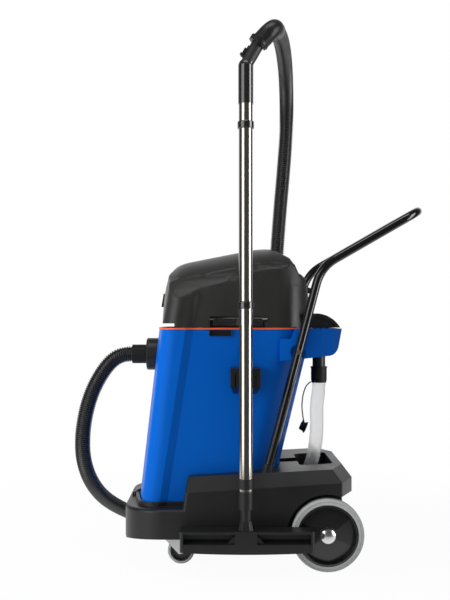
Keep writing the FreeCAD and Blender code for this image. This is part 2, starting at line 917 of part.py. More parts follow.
def head_arch(inset):
    """Cross outline of the head, drawn out along a line that rises to the rear."""
    x = head_arch_x - head_arch_reach
    drop = head_arch_rise * head_arch_reach
    points = []
    for (y, z), (y_share, z_share) in zip(head_arch_points, head_arch_shares):
        points.append((y - y_share * inset, z - z_share * inset - drop))
    floor = [(points[0][0], head_arch_floor_z), (-points[0][0], head_arch_floor_z)]
    left = [V(x, -y, z) for y, z in points]
    right = [V(x, y, z) for y, z in reversed(points)]
    path = right + [V(x, y, z) for y, z in floor] + left
    edges = [Part.LineSegment(a, b).toShape() for a, b in zip(path, path[1:])]
    edges.append(arc_through(left[-1], V(x, 0, head_arch_top_z - inset - drop), right[0]))
    return Part.Face(Part.Wire(edges)).extrude(V(2 * head_arch_reach, 0, 2 * drop))


def head_form(inset):
    """The head's outer form: a leaning plan, under a side outline and a cross outline."""
    rear = seam_rear_x - 4
    low = head_z - (2 if inset else 0)
    plan = Part.makeLoft([head_wire(z, rear, inset)
                          for z in (low, head_z + 100, head_crest_z + 40)], True, True)
    side = Part.Face(head_outline(inset)).extrude(V(0, 800, 0))
    form = plan.common(side).common(head_arch(inset))
    edges = [edge for edge in form.Edges if is_dome_edge(edge)]
    return form.makeFillet(head_dome_r - inset, edges)


def is_dome_edge(edge):
    """The two long edges between the head's dome and its sloping shoulders."""
    bound = edge.BoundBox
    y_low, y_high = sorted((abs(bound.YMin), abs(bound.YMax)))
    foot = head_arch_points[-1][0]
    return bound.XLength > head_arch_reach / 2 and y_high < foot + 1 and y_low > foot - 4


def head_side_panels(grow=0.0):
    """The shallow recess of each side behind the front column, under a sloping brow."""
    z_top = head_panel_top_z + grow
    x_end = seam_rear_x + 40
    panels = []
    for sign in (-1, 1):
        sections = []
        for z, lift in ((head_z - 3, 0.0), (z_top - 10, 0.0), (z_top, column_step + 1)):
            half = half_width(seam_z) - head_side_lean * (z - head_z)
            c = column_x(z) - grow
            outer = half + 30
            side = half - column_step + lift - grow
            points = [V(c - (lift and column_step_run), sign * (half + 1 - grow), z),
                      V(c + column_step_run, sign * side, z),
                      V(x_end, sign * side, z), V(x_end, sign * outer, z),
                      V(c - column_step_run, sign * outer, z)]
            sections.append(Part.makePolygon(points + points[:1]))
        panels.append(Part.makeLoft(sections, True, True))
    return panels


def latch_recess(sign, grow=0.0):
    """Recess in the head's side where a latch lies, with one slanted end."""
    y_side = half_width(seam_z) - column_step
    y0 = sign * (y_side - latch_recess_depth - grow)
    y1 = sign * (y_side + 30)
    x0 = latch_x - latch_recess_length / 2 - grow
    x1 = latch_x + latch_recess_length / 2 + grow
    z0 = head_z - 4
    z1 = head_z + latch_recess_height + grow
    return side_prism([(x0, z0), (x1, z0), (x1 - latch_recess_slant, z1), (x0, z1)],
                      min(y0, y1), max(y0, y1))


def head_cover():
    outer = head_form(0.0)
    for panel in head_side_panels():
        outer = outer.cut(panel)
    inner = head_form(head_wall)
    for panel in head_side_panels(head_wall):
        inner = inner.cut(panel)
    shell = outer.cut(inner)
    for sign in (-1, 1):
        backing = latch_recess(sign, head_wall).common(outer)
        shell = shell.fuse(backing).cut(latch_recess(sign))
    for pin in latch_pins().Solids:
        shell = shell.cut(pin)
    front_slot = box(-400, head_front_x(head_z) + head_front_recess, -400, 400,
                     head_z - 5, head_z + head_front_gap)
    shell = shell.cut(front_slot)
    for i in range(exhaust_slot_count):
        y = (i - (exhaust_slot_count - 1) / 2) * exhaust_slot_pitch
        slot = box(130, 185, y - exhaust_slot_width / 2, y + exhaust_slot_width / 2, 818, 838)
        shell = shell.cut(slot)
    gland_hole = rod(V(100, gland_y, gland_z), X_AXIS, gland_r, 100)
    return shell.cut(switch_block(0.0, -30, 30)).cut(gland_hole)


def switch_tilt(shape):
    """Turn a piece that is modelled upright so that it leans with the head's front."""
    lean = math.degrees(math.atan(head_front_lean))
    shape.rotate(V(head_front_x(switch_z), 0, switch_z), Y_AXIS, lean)
    return shape


def switch_block(grow, x0, x1):
    """A block as wide and high as the switch, from x0 to x1 behind the head's front."""
    x = head_front_x(switch_z)
    half_y = switch_width / 2 + grow
    half_z = switch_height / 2 + grow
    return switch_tilt(box(x + x0, x + x1, -half_y, half_y, switch_z - half_z,
                           switch_z + half_z))


def rocker_centre():
    return V(head_front_x(switch_z) + 3, 0, switch_z)


def switch_bezel():
    """Frame in the head's front that carries the rocker on two stub pins."""
    body = switch_block(switch_frame, -4, 0).fuse(switch_block(0.0, -4, 16))
    x = head_front_x(switch_z)
    half_y = rocker_width / 2 + loose_gap
    half_z = rocker_height / 2 + 2 * loose_gap
    pocket = switch_tilt(box(x - 10, x + 13, -half_y, half_y, switch_z - half_z,
                             switch_z + half_z))
    pins = rod(rocker_centre() - Y_AXIS * (half_y + 1), Y_AXIS, 2, 2 * half_y + 2)
    core = box(x - 20, x + 20, -rocker_width / 2 + 4, rocker_width / 2 - 4, switch_z - 20,
               switch_z + 20)
    return body.cut(pocket).fuse(pins.cut(core))


def rocker():
    """Rocker with a shallow V across its face."""
    centre = rocker_centre()
    half_y = rocker_width / 2
    half_z = rocker_height / 2
    outline = [(-7.5, -half_z), (-6, 0), (-7.5, half_z), (4, half_z - 2), (4, -half_z + 2)]
    body = side_prism([(centre.x + x, centre.z + z) for x, z in outline], -half_y, half_y)
    body = switch_tilt(body)
    return body.cut(rod(centre - Y_AXIS * 40, Y_AXIS, 2 + running_gap, 80))


def cord_gland():
    """Strain relief at the head's rear, without its power cord."""
    start = V(seam_rear_x - 22, gland_y, gland_z)
    body = rod(start, X_AXIS, gland_r, 22).fuse(rod(start - X_AXIS * 4, X_AXIS, gland_r + 3, 4))
    tip = Part.makeCone(gland_r - 1, gland_r - 3.5, 18, start + X_AXIS * 22, X_AXIS)
    return body.fuse(tip).cut(rod(start - X_AXIS * 5, X_AXIS, gland_bore_r, 60))


def head_base():
    """Floor of the head: it seats on the seal, carries the motor and takes the filter."""
    z1 = head_z + head_base_sheet
    rear = seam_rear_x - 21
    plate = Part.makeLoft([plan_wire(head_z, seam_front_x, rear, half_width(seam_z),
                                     head_wall + column_step + 2, 0.0),
                           plan_wire(z1, seam_front_x, rear, half_width(seam_z),
                                     head_wall + column_step + 2, 0.0)], True, True)
    lip_x = head_front_x(head_z) + head_front_recess
    plate = plate.cut(box(-400, lip_x, -400, 400, 0, 900))
    half = half_width(seam_z) - front_corner_r
    lip = box(lip_x, lip_x + head_lip_sheet, -half, half, head_z, head_z + head_front_gap + 8)
    collar = rod(V(motor_x, 0, head_z - 16), Z_AXIS, cage_r + 8, 16 + head_base_sheet)
    seat = ring(V(motor_x, 0, z1), Z_AXIS, motor_r + 5, motor_r, 12)
    body = fuse([plate, lip, collar, seat])
    for sign in (-1, 1):
        body = body.cut(latch_recess(sign, head_wall + 0.5))
    body = body.cut(rod(V(motor_x, 0, head_z - 20), Z_AXIS, cage_r, 24))
    return body.cut(rod(V(motor_x, 0, head_z), Z_AXIS, motor_eye_r, 50))


# Motor unit

motor_base_z = head_z + head_base_sheet
fan_top_z = motor_base_z + 32


def motor_housing():
    """Fan chamber below and motor can above, with outlet slots and two bearing seats."""
    at = V(motor_x, 0, motor_base_z)
    r = motor_r
    can_r = r - 16
    wall = motor_wall
    outer = rod(at, Z_AXIS, r, fan_top_z - motor_base_z).fuse(
        rod(V(motor_x, 0, fan_top_z), Z_AXIS, can_r, motor_top_z - fan_top_z))
    shoulder = Part.makeCone(r, can_r, 10, V(motor_x, 0, fan_top_z), Z_AXIS)
    outer = outer.fuse(shoulder)
    chamber = rod(at + Z_AXIS * wall, Z_AXIS, r - wall, fan_top_z - motor_base_z - 2 * wall)
    can = rod(V(motor_x, 0, fan_top_z + bearing_height), Z_AXIS, can_r - wall,
              motor_top_z - fan_top_z - bearing_height - wall)
    body = outer.cut(chamber).cut(can).cut(rod(at - Z_AXIS, Z_AXIS, motor_eye_r, 10))
    top_seat = rod(V(motor_x, 0, motor_top_z - wall - bearing_height), Z_AXIS, bearing_r + 4,
                   bearing_height + wall)
    body = body.fuse(top_seat)
    body = body.cut(rod(V(motor_x, 0, motor_top_z - wall - bearing_height), Z_AXIS, bearing_r,
                        bearing_height))
    body = body.cut(rod(V(motor_x, 0, fan_top_z), Z_AXIS, bearing_r, bearing_height))
    body = body.cut(rod(V(motor_x, 0, fan_top_z - wall - 1), Z_AXIS, shaft_r + 1, wall + 2))
    for i in range(8):
        slot = box(can_r - wall - 4, can_r + 5, -8, 8, motor_top_z - 40, motor_top_z - 15)
        slot.rotate(V(0, 0, 0), Z_AXIS, i * 45)
        slot.translate(V(motor_x, 0, 0))
        body = body.cut(slot)
    for i in range(10):
        slot = box(r - wall - 4, r + 5, -7, 7, motor_base_z + wall + 10, fan_top_z - wall - 2)
        slot.rotate(V(0, 0, 0), Z_AXIS, i * 36)
        slot.translate(V(motor_x, 0, 0))
        body = body.cut(slot)
    return body


def bearings():
    low = V(motor_x, 0, fan_top_z)
    high = V(motor_x, 0, motor_top_z - motor_wall - bearing_height)
    return Part.makeCompound([ring(at, Z_AXIS, bearing_r, shaft_r + running_gap, bearing_height)
                              for at in (low, high)])


def rotor():
    """Motor shaft with its wound core and collector."""
    z0 = motor_base_z + motor_wall + 2
    z1 = motor_top_z - motor_wall - 1
    middle = (fan_top_z + bearing_height + motor_top_z - motor_wall - bearing_height) / 2
    shaft = rod(V(motor_x, 0, z0), Z_AXIS, shaft_r, z1 - z0)
    core = rod(V(motor_x, 0, middle - rotor_length / 2), Z_AXIS, rotor_r, rotor_length)
    collector = rod(V(motor_x, 0, middle + rotor_length / 2), Z_AXIS, 15, 14)
    body = fuse([shaft, core, collector])
    for i in range(12):
        slot = box(rotor_r - 4, rotor_r + 2, -1.5, 1.5, middle - rotor_length / 2 - 1,
                   middle + rotor_length / 2 + 1)
        slot.rotate(V(0, 0, 0), Z_AXIS, i * 30)
        slot.translate(V(motor_x, 0, 0))
        body = body.cut(slot)
    return body


def impeller():
    """Fan wheel: a disc with curved blades and a hub pressed on the shaft."""
    z0 = motor_base_z + motor_wall + 4
    disc = rod(V(motor_x, 0, z0 + impeller_height - 2), Z_AXIS, impeller_r, 2)
    hub = rod(V(motor_x, 0, z0), Z_AXIS, shaft_r + 6, impeller_height)
    blades = []
    for i in range(impeller_blade_count):
        arc = ring(V(26, 22, z0), Z_AXIS, 36, 34.2, impeller_height)
        arc = arc.common(box(14, 70, -30, 60, z0 - 1, z0 + impeller_height + 1))
        arc.rotate(V(0, 0, 0), Z_AXIS, i * 360.0 / impeller_blade_count)
        arc.translate(V(motor_x, 0, 0))
        blades.append(arc.common(rod(V(motor_x, 0, z0 - 1), Z_AXIS, impeller_r,
                                     impeller_height + 2)))
    body = fuse([disc, hub] + blades)
    return body.cut(rod(V(motor_x, 0, z0 - 1), Z_AXIS, shaft_r, impeller_height + 2))


# Filter and float

def filter_cartridge():
    """Ring-shaped filter with end caps, clamped under the head's floor."""
    z1 = head_z - 16
    z0 = z1 - filter_height
    at = V(motor_x, 0, z0)
    pleats = ring(at, Z_AXIS, filter_r - 4, filter_r - filter_wall, filter_height)
    caps = [ring(V(motor_x, 0, z), Z_AXIS, filter_r, filter_r - filter_wall - 4, filter_cap)
            for z in (z0, z1 - filter_cap)]
    top = ring(V(motor_x, 0, z1 - 3), Z_AXIS, filter_r, cage_r + 1, 3)
    return fuse([pleats, top] + caps)


def float_cage():
    """Cage with windows that hangs under the suction port and guides the float."""
    z1 = head_z
    z0 = z1 - cage_height
    at = V(motor_x, 0, z0)
    body = rod(at, Z_AXIS, cage_r, cage_height)
    body = body.cut(rod(at + Z_AXIS * cage_wall, Z_AXIS, cage_r - cage_wall, cage_height))
    for i in range(cage_window_count):
        window = box(cage_r - 12, cage_r + 5, -11, 11, z0 + 12, z1 - 32)
        window.rotate(V(0, 0, 0), Z_AXIS, i * 360.0 / cage_window_count)
        window.translate(V(motor_x, 0, 0))
        body = body.cut(window)
    return body


def float_body():
    """Hollow float that rises on foam or water and shuts the suction port."""
    z0 = head_z - cage_height + cage_wall
    height = cage_height - cage_wall - float_travel
    at = V(motor_x, 0, z0)
    body = rod(at, Z_AXIS, float_r, height - 10)
    dome = Part.makeCone(float_r, float_r - 12, 10, at + Z_AXIS * (height - 10), Z_AXIS)
    hollow = rod(at + Z_AXIS * 2, Z_AXIS, float_r - 2, height - 14)
    return body.fuse(dome).cut(hollow)


# Tank catch

def tank_catch():
    """Small lever on the trolley's front ledge that leans on the tank's foot."""
    x_low = tank_front_x(catch_z) - 3
    x_top = tank_front_x(catch_top_z) - 1.5
    outline = [(catch_x, catch_z - catch_foot_r), (x_low - 2, catch_z + 3),
               (x_top, catch_top_z), (x_top - 4, catch_top_z + 0.5),
               (catch_x - catch_foot_r, catch_z)]
    foot = rod(V(catch_x, -catch_half_width, catch_z), Y_AXIS, catch_foot_r,
               2 * catch_half_width)
    lever = side_prism(outline, -catch_half_width, catch_half_width).fuse(foot)
    return lever.cut(rod(V(catch_x, -60, catch_z), Y_AXIS, catch_pin_r + running_gap, 120))


def catch_pin():
    half = catch_half_width + catch_gap + catch_lug
    return rod(V(catch_x, -half, catch_z), Y_AXIS, catch_pin_r, 2 * half)


# Rear tray

def tray_outline(inset):
    rear = tray_rear_x - inset
    front = tray_front_x + inset
    low = inset
    edges = [
        ((front, 572 + low), (front, tray_block_top_z)),
        ((front, tray_block_top_z), (tray_step_x, tray_block_top_z)),
        ((tray_step_x, tray_block_top_z), (tray_step_x + 12, tray_rim_z)),
        ((tray_step_x + 12, tray_rim_z), (rear, tray_rim_z)),
        ((rear, tray_rim_z), (rear - 10, 618)),
    ]
    lines = [Part.LineSegment(V(a, -400, b), V(c, -400, d)).toShape()
             for (a, b), (c, d) in edges]
    lines.append(arc_through(V(rear - 10, -400, 618), V(rear - 20, -400, 597 + low / 2),
                             V(rear - 42, -400, 587 + low)))
    lines.append(Part.LineSegment(V(rear - 42, -400, 587 + low),
                                  V(front, -400, 572 + low)).toShape())
    return Part.Wire(lines)


def tray_form(inset):
    prism = Part.Face(tray_outline(inset)).extrude(V(0, 800, 0))
    half = tray_half_width - inset
    rear = tray_rear_x - inset
    side = [(0, half), (tray_crease_x - inset / 2, half),
            (tray_crease_x + tray_crease_step - inset / 2, half - tray_crease_step),
            (tray_corner_x - inset / 2, half - tray_corner_step),
            (rear, half - tray_corner_cut)]
    corners = [V(x, -y, 500) for x, y in side] + [V(x, y, 500) for x, y in reversed(side)]
    plan = Part.Face(Part.makePolygon(corners + corners[:1])).extrude(V(0, 0, 200))
    rear_edges = [edge for edge in plan.Edges if edge.BoundBox.XMin > tray_corner_x - inset
                  and edge.BoundBox.ZLength > 100]
    return prism.common(plan.makeFillet(tray_corner_r - inset, rear_edges))


def tank_keepout(grow):
    """The tank's outer form from below the tray up past the seal, grown by a fit."""
    return Part.makeLoft([tank_wire(480, -grow), tank_wire(seam_z, -grow),
                          tank_wire(seam_z + 60, -grow)], True, True)


def rear_tray():
    """Tray moulded round the tank's rear wall, open at the top, with two tool sockets."""
    outer = tray_form(0.0)
    hollow = tray_form(tray_wall)
    top = tray_form(tray_wall).common(box(0, 400, -400, 400, tray_rim_z - 2, 700))
    hollow = hollow.fuse(top.translate(V(0, 0, 2))).cut(tank_keepout(tray_wall))
    shell = outer.cut(hollow)
    for sign in (-1, 1):
        centre = V(tool_socket_x, sign * tool_socket_y, tray_rim_z - tool_socket_depth)
        sleeve = rod(V(centre.x, centre.y, 580), Z_AXIS, tool_socket_r + tool_socket_wall,
                     tray_rim_z - 580)
        shell = shell.fuse(sleeve.common(outer))
        shell = shell.cut(rod(centre, Z_AXIS, tool_socket_r, tool_socket_depth + 5))
        y0 = sign * tray_half_width
        fix_x = handle_foot_point(tray_fix_z)
        out = Y_AXIS * sign
        boss = rod(V(fix_x, y0 - sign * (tray_fix_depth + tray_wall), tray_fix_z), out,
                   tray_fix_r + tray_wall, tray_fix_depth + tray_wall)
        pocket = rod(V(fix_x, y0 - sign * tray_fix_depth, tray_fix_z), out,
                     tray_fix_r, tray_fix_depth + 5)
        shell = shell.fuse(boss.common(outer)).cut(pocket)
        shell = shell.cut(rod(V(fix_x, 0, tray_fix_z), out, handle_bolt_r, 200))
    stub_seat = rod(V(drain_x, 0, 560), Z_AXIS, drain_stub_r, 60)
    return shell.cut(tank_keepout(0.0)).cut(seal_block(0.0)).cut(stub_seat)


def drain_stub():
    """Parking stub under the tray that the drain hose's cuff is pushed on."""
    top = 612.0
    body = rod(V(drain_x, 0, drain_stub_z - 26), Z_AXIS, drain_stub_r, top - drain_stub_z + 26)
    flange = ring(V(drain_x, 0, top - 6), Z_AXIS, drain_stub_r + 2, drain_stub_r, 6)
    bore = rod(V(drain_x, 0, drain_stub_z - 30), Z_AXIS, drain_stub_r - 3, 60)
    return body.fuse(flange).cut(bore)


def drain_cuff():
    """Rubber cuff at the drain hose's upper end, with a ring that holds the strap."""
    bottom = drain_cuff_bottom_z
    body = rod(V(drain_x, 0, bottom), Z_AXIS, drain_cuff_r, drain_stub_z - bottom)
    lip = rod(V(drain_x, 0, drain_stub_z - 5), Z_AXIS, drain_cuff_r + 1.2, 5)
    band = rod(V(drain_x, 0, bottom - 7), Z_AXIS, drain_hose_r + 2.5, 7)
    bore = rod(V(drain_x, 0, bottom - 10), Z_AXIS, drain_hose_r, 30)
    seat = rod(V(drain_x, 0, bottom + 15), Z_AXIS, drain_stub_r, 60)
    return fuse([body, lip, band]).cut(bore).cut(seat)


def drain_outlet():
    """Spigot at the tank's heel that feeds the drain hose."""
    x0 = tank_rear_x(drain_outlet_z) - 12
    x1 = drain_route_points[0].x
    pipe = ring(V(x0, 0, drain_outlet_z), X_AXIS, drain_hose_r + 2.5, drain_outlet_bore_r,
                x1 - x0 + 14)
    flange = ring(V(x0 + 10, 0, drain_outlet_z), X_AXIS, 30, drain_outlet_bore_r, 12)
    flange = flange.cut(tank_block(tank_bottom_z, seam_z))
    seat = rod(V(x1, 0, drain_outlet_z), X_AXIS, drain_hose_r, 30)
    return pipe.fuse(flange).cut(seat).cut(rod(V(x0 - 1, 0, drain_outlet_z), X_AXIS,
                                               drain_outlet_bore_r, 60))


# Cord hook

def cord_hook():
    """Two arched hooks behind the head, closed at their outer ends, for the power cord."""
    front = hook_front_x
    rear = hook_rear_x
    top = hook_top_z
    foot = tray_rim_z + 3

    def arch(drop, y0, y1):
        wire = Part.Wire([
            Part.LineSegment(V(front, y0, foot), V(front, y0, top - drop)).toShape(),
            Part.LineSegment(V(front, y0, top - drop),
                             V(rear - 62, y0, top - drop)).toShape(),
            arc_through(V(rear - 62, y0, top - drop),
                        V(rear - 20 - 0.7 * drop, y0, top - 17 - 0.7 * drop),
                        V(rear - drop, y0, foot)),
            Part.LineSegment(V(rear - drop, y0, foot), V(front, y0, foot)).toShape()])
        return Part.Face(wire).extrude(V(0, y1 - y0, 0))

    hooks = []
    for y0 in (-hook_half_width, hook_half_width - hook_width):
        y1 = y0 + hook_width
        band = arch(0, y0, y1).cut(arch(hook_wall, y0, y1))
        rims = [arch(0, y, y + hook_rim_width).cut(arch(hook_band, y, y + hook_rim_width))
                for y in (y0, y1 - hook_rim_width)]
        web_y = y0 + hook_web_inset if y0 < 0 else y1 - hook_web_inset - hook_web
        hooks.append(fuse([band, arch(0, web_y, web_y + hook_web)] + rims))
    return Part.makeCompound(hooks).cut(head_form(0.0))


# Latches

def latch(sign):
    """Over-centre latch: a plate with a finger lip, knuckles on the pin and a hook below."""
    y_side = half_width(seam_z) - column_step
    half = latch_length / 2
    pin_y = y_side - latch_pin_inset
    outer_y = y_side - latch_pin_inset + latch_plate / 2 + 1
    plate = box(latch_x - half, latch_x + half, pin_y - 1, outer_y + 2,
                latch_pin_z - 18, latch_pin_z - 3)
    knuckle = rod(V(latch_x - half, pin_y, latch_pin_z), X_AXIS, latch_pin_r + 2.6, 2 * half)
    neck = box(latch_x - half, latch_x + half, pin_y - 1, pin_y + 3, latch_pin_z - 6, latch_pin_z)
    lip = box(latch_x - 24, latch_x + 24, outer_y, outer_y + 7, latch_pin_z - 18, latch_pin_z - 14)
    body = fuse([plate, knuckle, neck, lip])
    body = body.cut(rod(V(latch_x - half - 1, pin_y, latch_pin_z), X_AXIS,
                        latch_pin_r + running_gap, 2 * half + 2))
    return body if sign > 0 else body.mirror(V(0, 0, 0), Y_AXIS)


def latch_pins():
    y_side = half_width(seam_z) - column_step
    half = latch_recess_length / 2 + 3
    return Part.makeCompound([rod(V(latch_x - half, sign * (y_side - latch_pin_inset),
                                    latch_pin_z), X_AXIS, latch_pin_r, 2 * half)
                              for sign in (-1, 1)])


# Wand clip, wand and floor tool

def wand_clip():
    """Bracket on the tank's side with two sprung jaws round the wand."""
    z0 = clip_z - clip_height / 2
    z1 = clip_z + clip_height / 2
    x0 = wand_x - clip_width / 2
    x1 = wand_x + clip_width / 2
    jaw_r = wand_r + clip_gap
    front = wand_y + 4
    back = -half_width(clip_z) + 2
    block = box(x0, x1, front, back + 30, z0, z1)
    block = block.cut(rod(V(wand_x, wand_y, z0 - 1), Z_AXIS, jaw_r, clip_height + 2))
    taper = side_prism([(x0 - 1, z0 - 1), (x0 + 9, z0 - 1), (x0 - 1, z0 + 26)], -400, 0)
    other = side_prism([(x1 + 1, z0 - 1), (x1 - 9, z0 - 1), (x1 + 1, z0 + 26)], -400, 0)
    under = Part.Face(Part.makePolygon([
        V(x0 - 1, front - 1, z0 + 24), V(x0 - 1, back + 31, z0 - 22),
        V(x0 - 1, front - 1, z0 - 22), V(x0 - 1, front - 1, z0 + 24)])).extrude(
            V(clip_width + 2, 0, 0))
    relief = [box(x0 + 12, wand_x - jaw_r - clip_jaw_wall + 3, front - 1, front + 26,
                  z0 + 22, z1 - 14),
              box(wand_x + jaw_r + clip_jaw_wall - 3, x1 - 12, front - 1, front + 26,
                  z0 + 22, z1 - 14)]
    hollow = box(x0 + 6, x1 - 6, wand_y + wand_r + 12, back + 31, z0 + 26, z1 - 6)
    for cutter in [taper, other, under, hollow, tank_block(tank_bottom_z, seam_z)] + relief:
        block = block.cut(cutter)
    return block


def wand_tube(z0, z1, radius):
    return ring(V(wand_x, wand_y, z0), Z_AXIS, radius, radius - wand_sheet, z1 - z0)


def wand_lower():
    """Lower steel tube, swaged wider at its top where the upper tube plugs in."""
    neck_z = wand_joint_z - wand_joint_overlap
    body = wand_tube(wand_bottom_z, neck_z, wand_r)
    socket = wand_tube(neck_z, wand_joint_z, wand_r + wand_sheet)
    step = ring(V(wand_x, wand_y, neck_z - wand_sheet), Z_AXIS, wand_r + wand_sheet,
                wand_r - wand_sheet, wand_sheet)
    return fuse([body, socket, step])


def wand_upper():
    return wand_tube(wand_joint_z - wand_joint_overlap, wand_top_z + wand_plug_length, wand_r)


def tube_ring(top_z, bore_r):
    """Black ring with rounded edges pressed on a steel tube."""
    body = ring(V(wand_x, wand_y, top_z - tube_ring_length), Z_AXIS, tube_ring_r, bore_r,
                tube_ring_length)
    rims = [edge for edge in body.Edges
            if abs(edge.BoundBox.XMax - wand_x - tube_ring_r) < 0.5
            and edge.BoundBox.ZMax - edge.BoundBox.ZMin < 0.1]
    return body.makeChamfer(1.5, rims)


bend_dir = V(math.sin(math.radians(bend_angle)), 0, math.cos(math.radians(bend_angle)))
bend_corner = V(wand_x, wand_y, sleeve_top_z)
bend_end = bend_corner + bend_dir * bend_tube_length


def bend_tube():
    """Hand tube: a sleeve over the wand's top, then a tube that leans back to the hose."""
    sleeve = rod(V(wand_x, wand_y, wand_top_z), Z_AXIS, sleeve_r, sleeve_top_z - wand_top_z)
    path, radii = route_wire([V(wand_x, wand_y, sleeve_top_z - 30), bend_corner,
                              bend_end], [bend_r])
    outer = sleeve.fuse(swept_rod(path, bend_tube_r))
    knuckle = Part.makeSphere(sleeve_r, V(wand_x, wand_y, sleeve_top_z - 3))
    outer = outer.fuse(knuckle.common(rod(V(wand_x, wand_y, sleeve_top_z - 8), Z_AXIS, 60, 60)))
    socket = rod(V(wand_x, wand_y, wand_top_z - 1), Z_AXIS, wand_r, wand_plug_length + 1)
    bore, radii = route_wire([V(wand_x, wand_y, wand_top_z + wand_plug_length - 1),
                              bend_corner, bend_end + bend_dir], [bend_r])
    body = outer.cut(socket).cut(swept_rod(bore, bend_tube_r - bend_tube_sheet))
    rail_start = bend_corner + bend_dir * 14 + slider_side * (bend_tube_r - 1.5)
    rail = slider_block(rail_start, slider_length + slider_travel + 2, 9.0, 4.5)
    slot = slider_block(rail_start + bend_dir * 8 - slider_side * 6, 12, 5.0, 14.0)
    return body.fuse(rail).cut(slot)


slider_side = V(-math.cos(math.radians(bend_angle)), 0, math.sin(math.radians(bend_angle)))


def slider_block(start, length, width, height):
    """A block along the bend tube, standing out of its front side."""
    corners = [start - Y_AXIS * (width / 2), start + Y_AXIS * (width / 2),
               start + Y_AXIS * (width / 2) + bend_dir * length,
               start - Y_AXIS * (width / 2) + bend_dir * length]
    face = Part.Face(Part.makePolygon(corners + corners[:1]))
    return face.extrude(slider_side * height)


def air_slider():
    """Suction relief slider that runs on a short rail in front of the bend tube."""
    start = bend_corner + bend_dir * 15 + slider_side * (bend_tube_r - 1.5)
    body = slider_block(start, slider_length, 15.0, 9.0)
    rail = slider_block(start - bend_dir * 5, slider_length + 10, 9.0 + 0.4, 4.5 + 0.3)
    tube = rod(bend_corner, bend_dir, bend_tube_r + 0.3, bend_tube_length)
    thumb = slider_block(start + bend_dir * 2 + slider_side * 8.5, 6, 13.0, 4.0)
    return body.fuse(thumb).cut(rail).cut(tube)


hose_start = V(76, -236, 1478)
hose_lead = V(14, 76, 10).normalize()
elbow_corner = hose_start - hose_lead * 57


def hose_elbow():
    """Swivel elbow on the bend tube that turns the hose towards the far side."""
    inlet = bend_end - bend_dir * 26
    path, radii = route_wire([inlet, elbow_corner, hose_start], [elbow_bend_r])
    outer = swept_rod(path, elbow_r)
    rim = rod(inlet, bend_dir, elbow_rim_r, 14)
    bore, radii = route_wire([inlet - bend_dir * 5, elbow_corner, hose_start + hose_lead * 5],
                             [elbow_bend_r])
    socket = rod(inlet - bend_dir * 5, bend_dir, bend_tube_r + running_gap, 31)
    return outer.fuse(rim).cut(swept_rod(bore, hose_bore_r - 3)).cut(socket)


# Suction hose

cuff_front_x = tank_front_x(inlet_z) + 6 - inlet_collar_length - cuff_length

hose_route_points = [
    V(cuff_front_x + cuff_seat, 0, inlet_z), V(-370, 0, inlet_z), V(-404, 0, 564),
    V(-434, 1, 524), V(-460, 3, 474),
    V(-479, 6, 414), V(-490, 9, 345), V(-491, 25, 270), V(-476, 72, 196), V(-446, 141, 132),
    V(-400, 210, 84), V(-340, 268, 45), V(-268, 307, 25.5), V(-186, 326, 22.4),
    V(-103, 331, 29), V(-28, 330, 72), V(32, 326, 134), V(70, 320, 213), V(87, 314, 306),
    V(93, 308, 430), V(96, 303, 570), V(101, 300, 720), V(108, 302, 880), V(119, 308, 1030),
    V(131, 313, 1160), V(141, 313, 1290), V(141, 285, 1372), V(136, 226, 1430),
    V(128, 146, 1466), V(117, 45, 1482), V(104, -60, 1490), V(90, -160, 1488), hose_start,
]


def suction_hose():
    path, radii = route_wire(hose_route_points)
    print("suction hose radii", radii, "length", round(path.Length, 1))
    body = swept_rod(path, hose_r)
    print("suction hose volume ratio", body.Volume / (math.pi * hose_r ** 2 * path.Length))
    return body.cut(swept_rod(path, hose_bore_r))


drain_route_points = [
    V(108, 0, 196), V(138, 0, 196), V(166, 0, 211), V(188, 0, 242), V(201, 0, 282),
    V(209, 0, 330), V(211, 0, 384), V(210, 0, 436), V(217, 0, 476), V(217, 0, 516),
]


def drain_hose():
    path, radii = route_wire(drain_route_points)
    print("drain hose radii", radii, "length", round(path.Length, 1))
    return swept_rod(path, drain_hose_r).cut(swept_rod(path, drain_hose_bore_r))


strap_route_points = [
    V(193, -4, 503), V(184, -5, 498), V(176, -6, 486), V(170, -6, 468), V(167, -5, 448),
    V(166, -4, 428), V(168, -2, 408), V(171, 0, 388),
]


def drain_strap():
    path, radii = route_wire(strap_route_points)
    print("strap radii", radii, "length", round(path.Length, 1))
    return swept_rod(path, strap_r)


def stopper():
    """Push-in stopper that hangs from the strap."""
    at = strap_route_points[-1]
    side = V(0.92, 0, -0.39).normalize()
    along = V(at.x - 9, at.y, at.z - stopper_r)
    flange = rod(along + side * 14, side, stopper_r + 2, 3.5)
    plug = Part.makeCone(stopper_r - 3, stopper_r - 1, 14, along, side)
    neck = rod(V(at.x, at.y, at.z - 8), Z_AXIS, 3.2, 8)
    hollow = rod(along - side, side, stopper_r - 6, 12)
    return fuse([flange, plug.cut(hollow), neck])


# Inlet

def inlet_collar():
    """Large ring on the tank's front with the hose socket through it."""
    x1 = tank_front_x(inlet_z) + 6
    x0 = x1 - inlet_collar_length
    body = rod(V(x0, 0, inlet_z), X_AXIS, inlet_collar_r, inlet_collar_length)
    rims = [edge for edge in body.Edges if edge.BoundBox.XMax < x0 + 1 and
            edge.BoundBox.ZMax - edge.BoundBox.ZMin > 50]
    body = body.makeChamfer(3, rims)
    spigot = rod(V(x1 - 12, 0, inlet_z), X_AXIS, inlet_bore_r + 6, 51)
    body = body.cut(tank_block(tank_bottom_z, seam_z)).fuse(spigot)
    bore = rod(V(x0 - 1, 0, inlet_z), X_AXIS, inlet_bore_r, 120)
    return body.cut(bore)


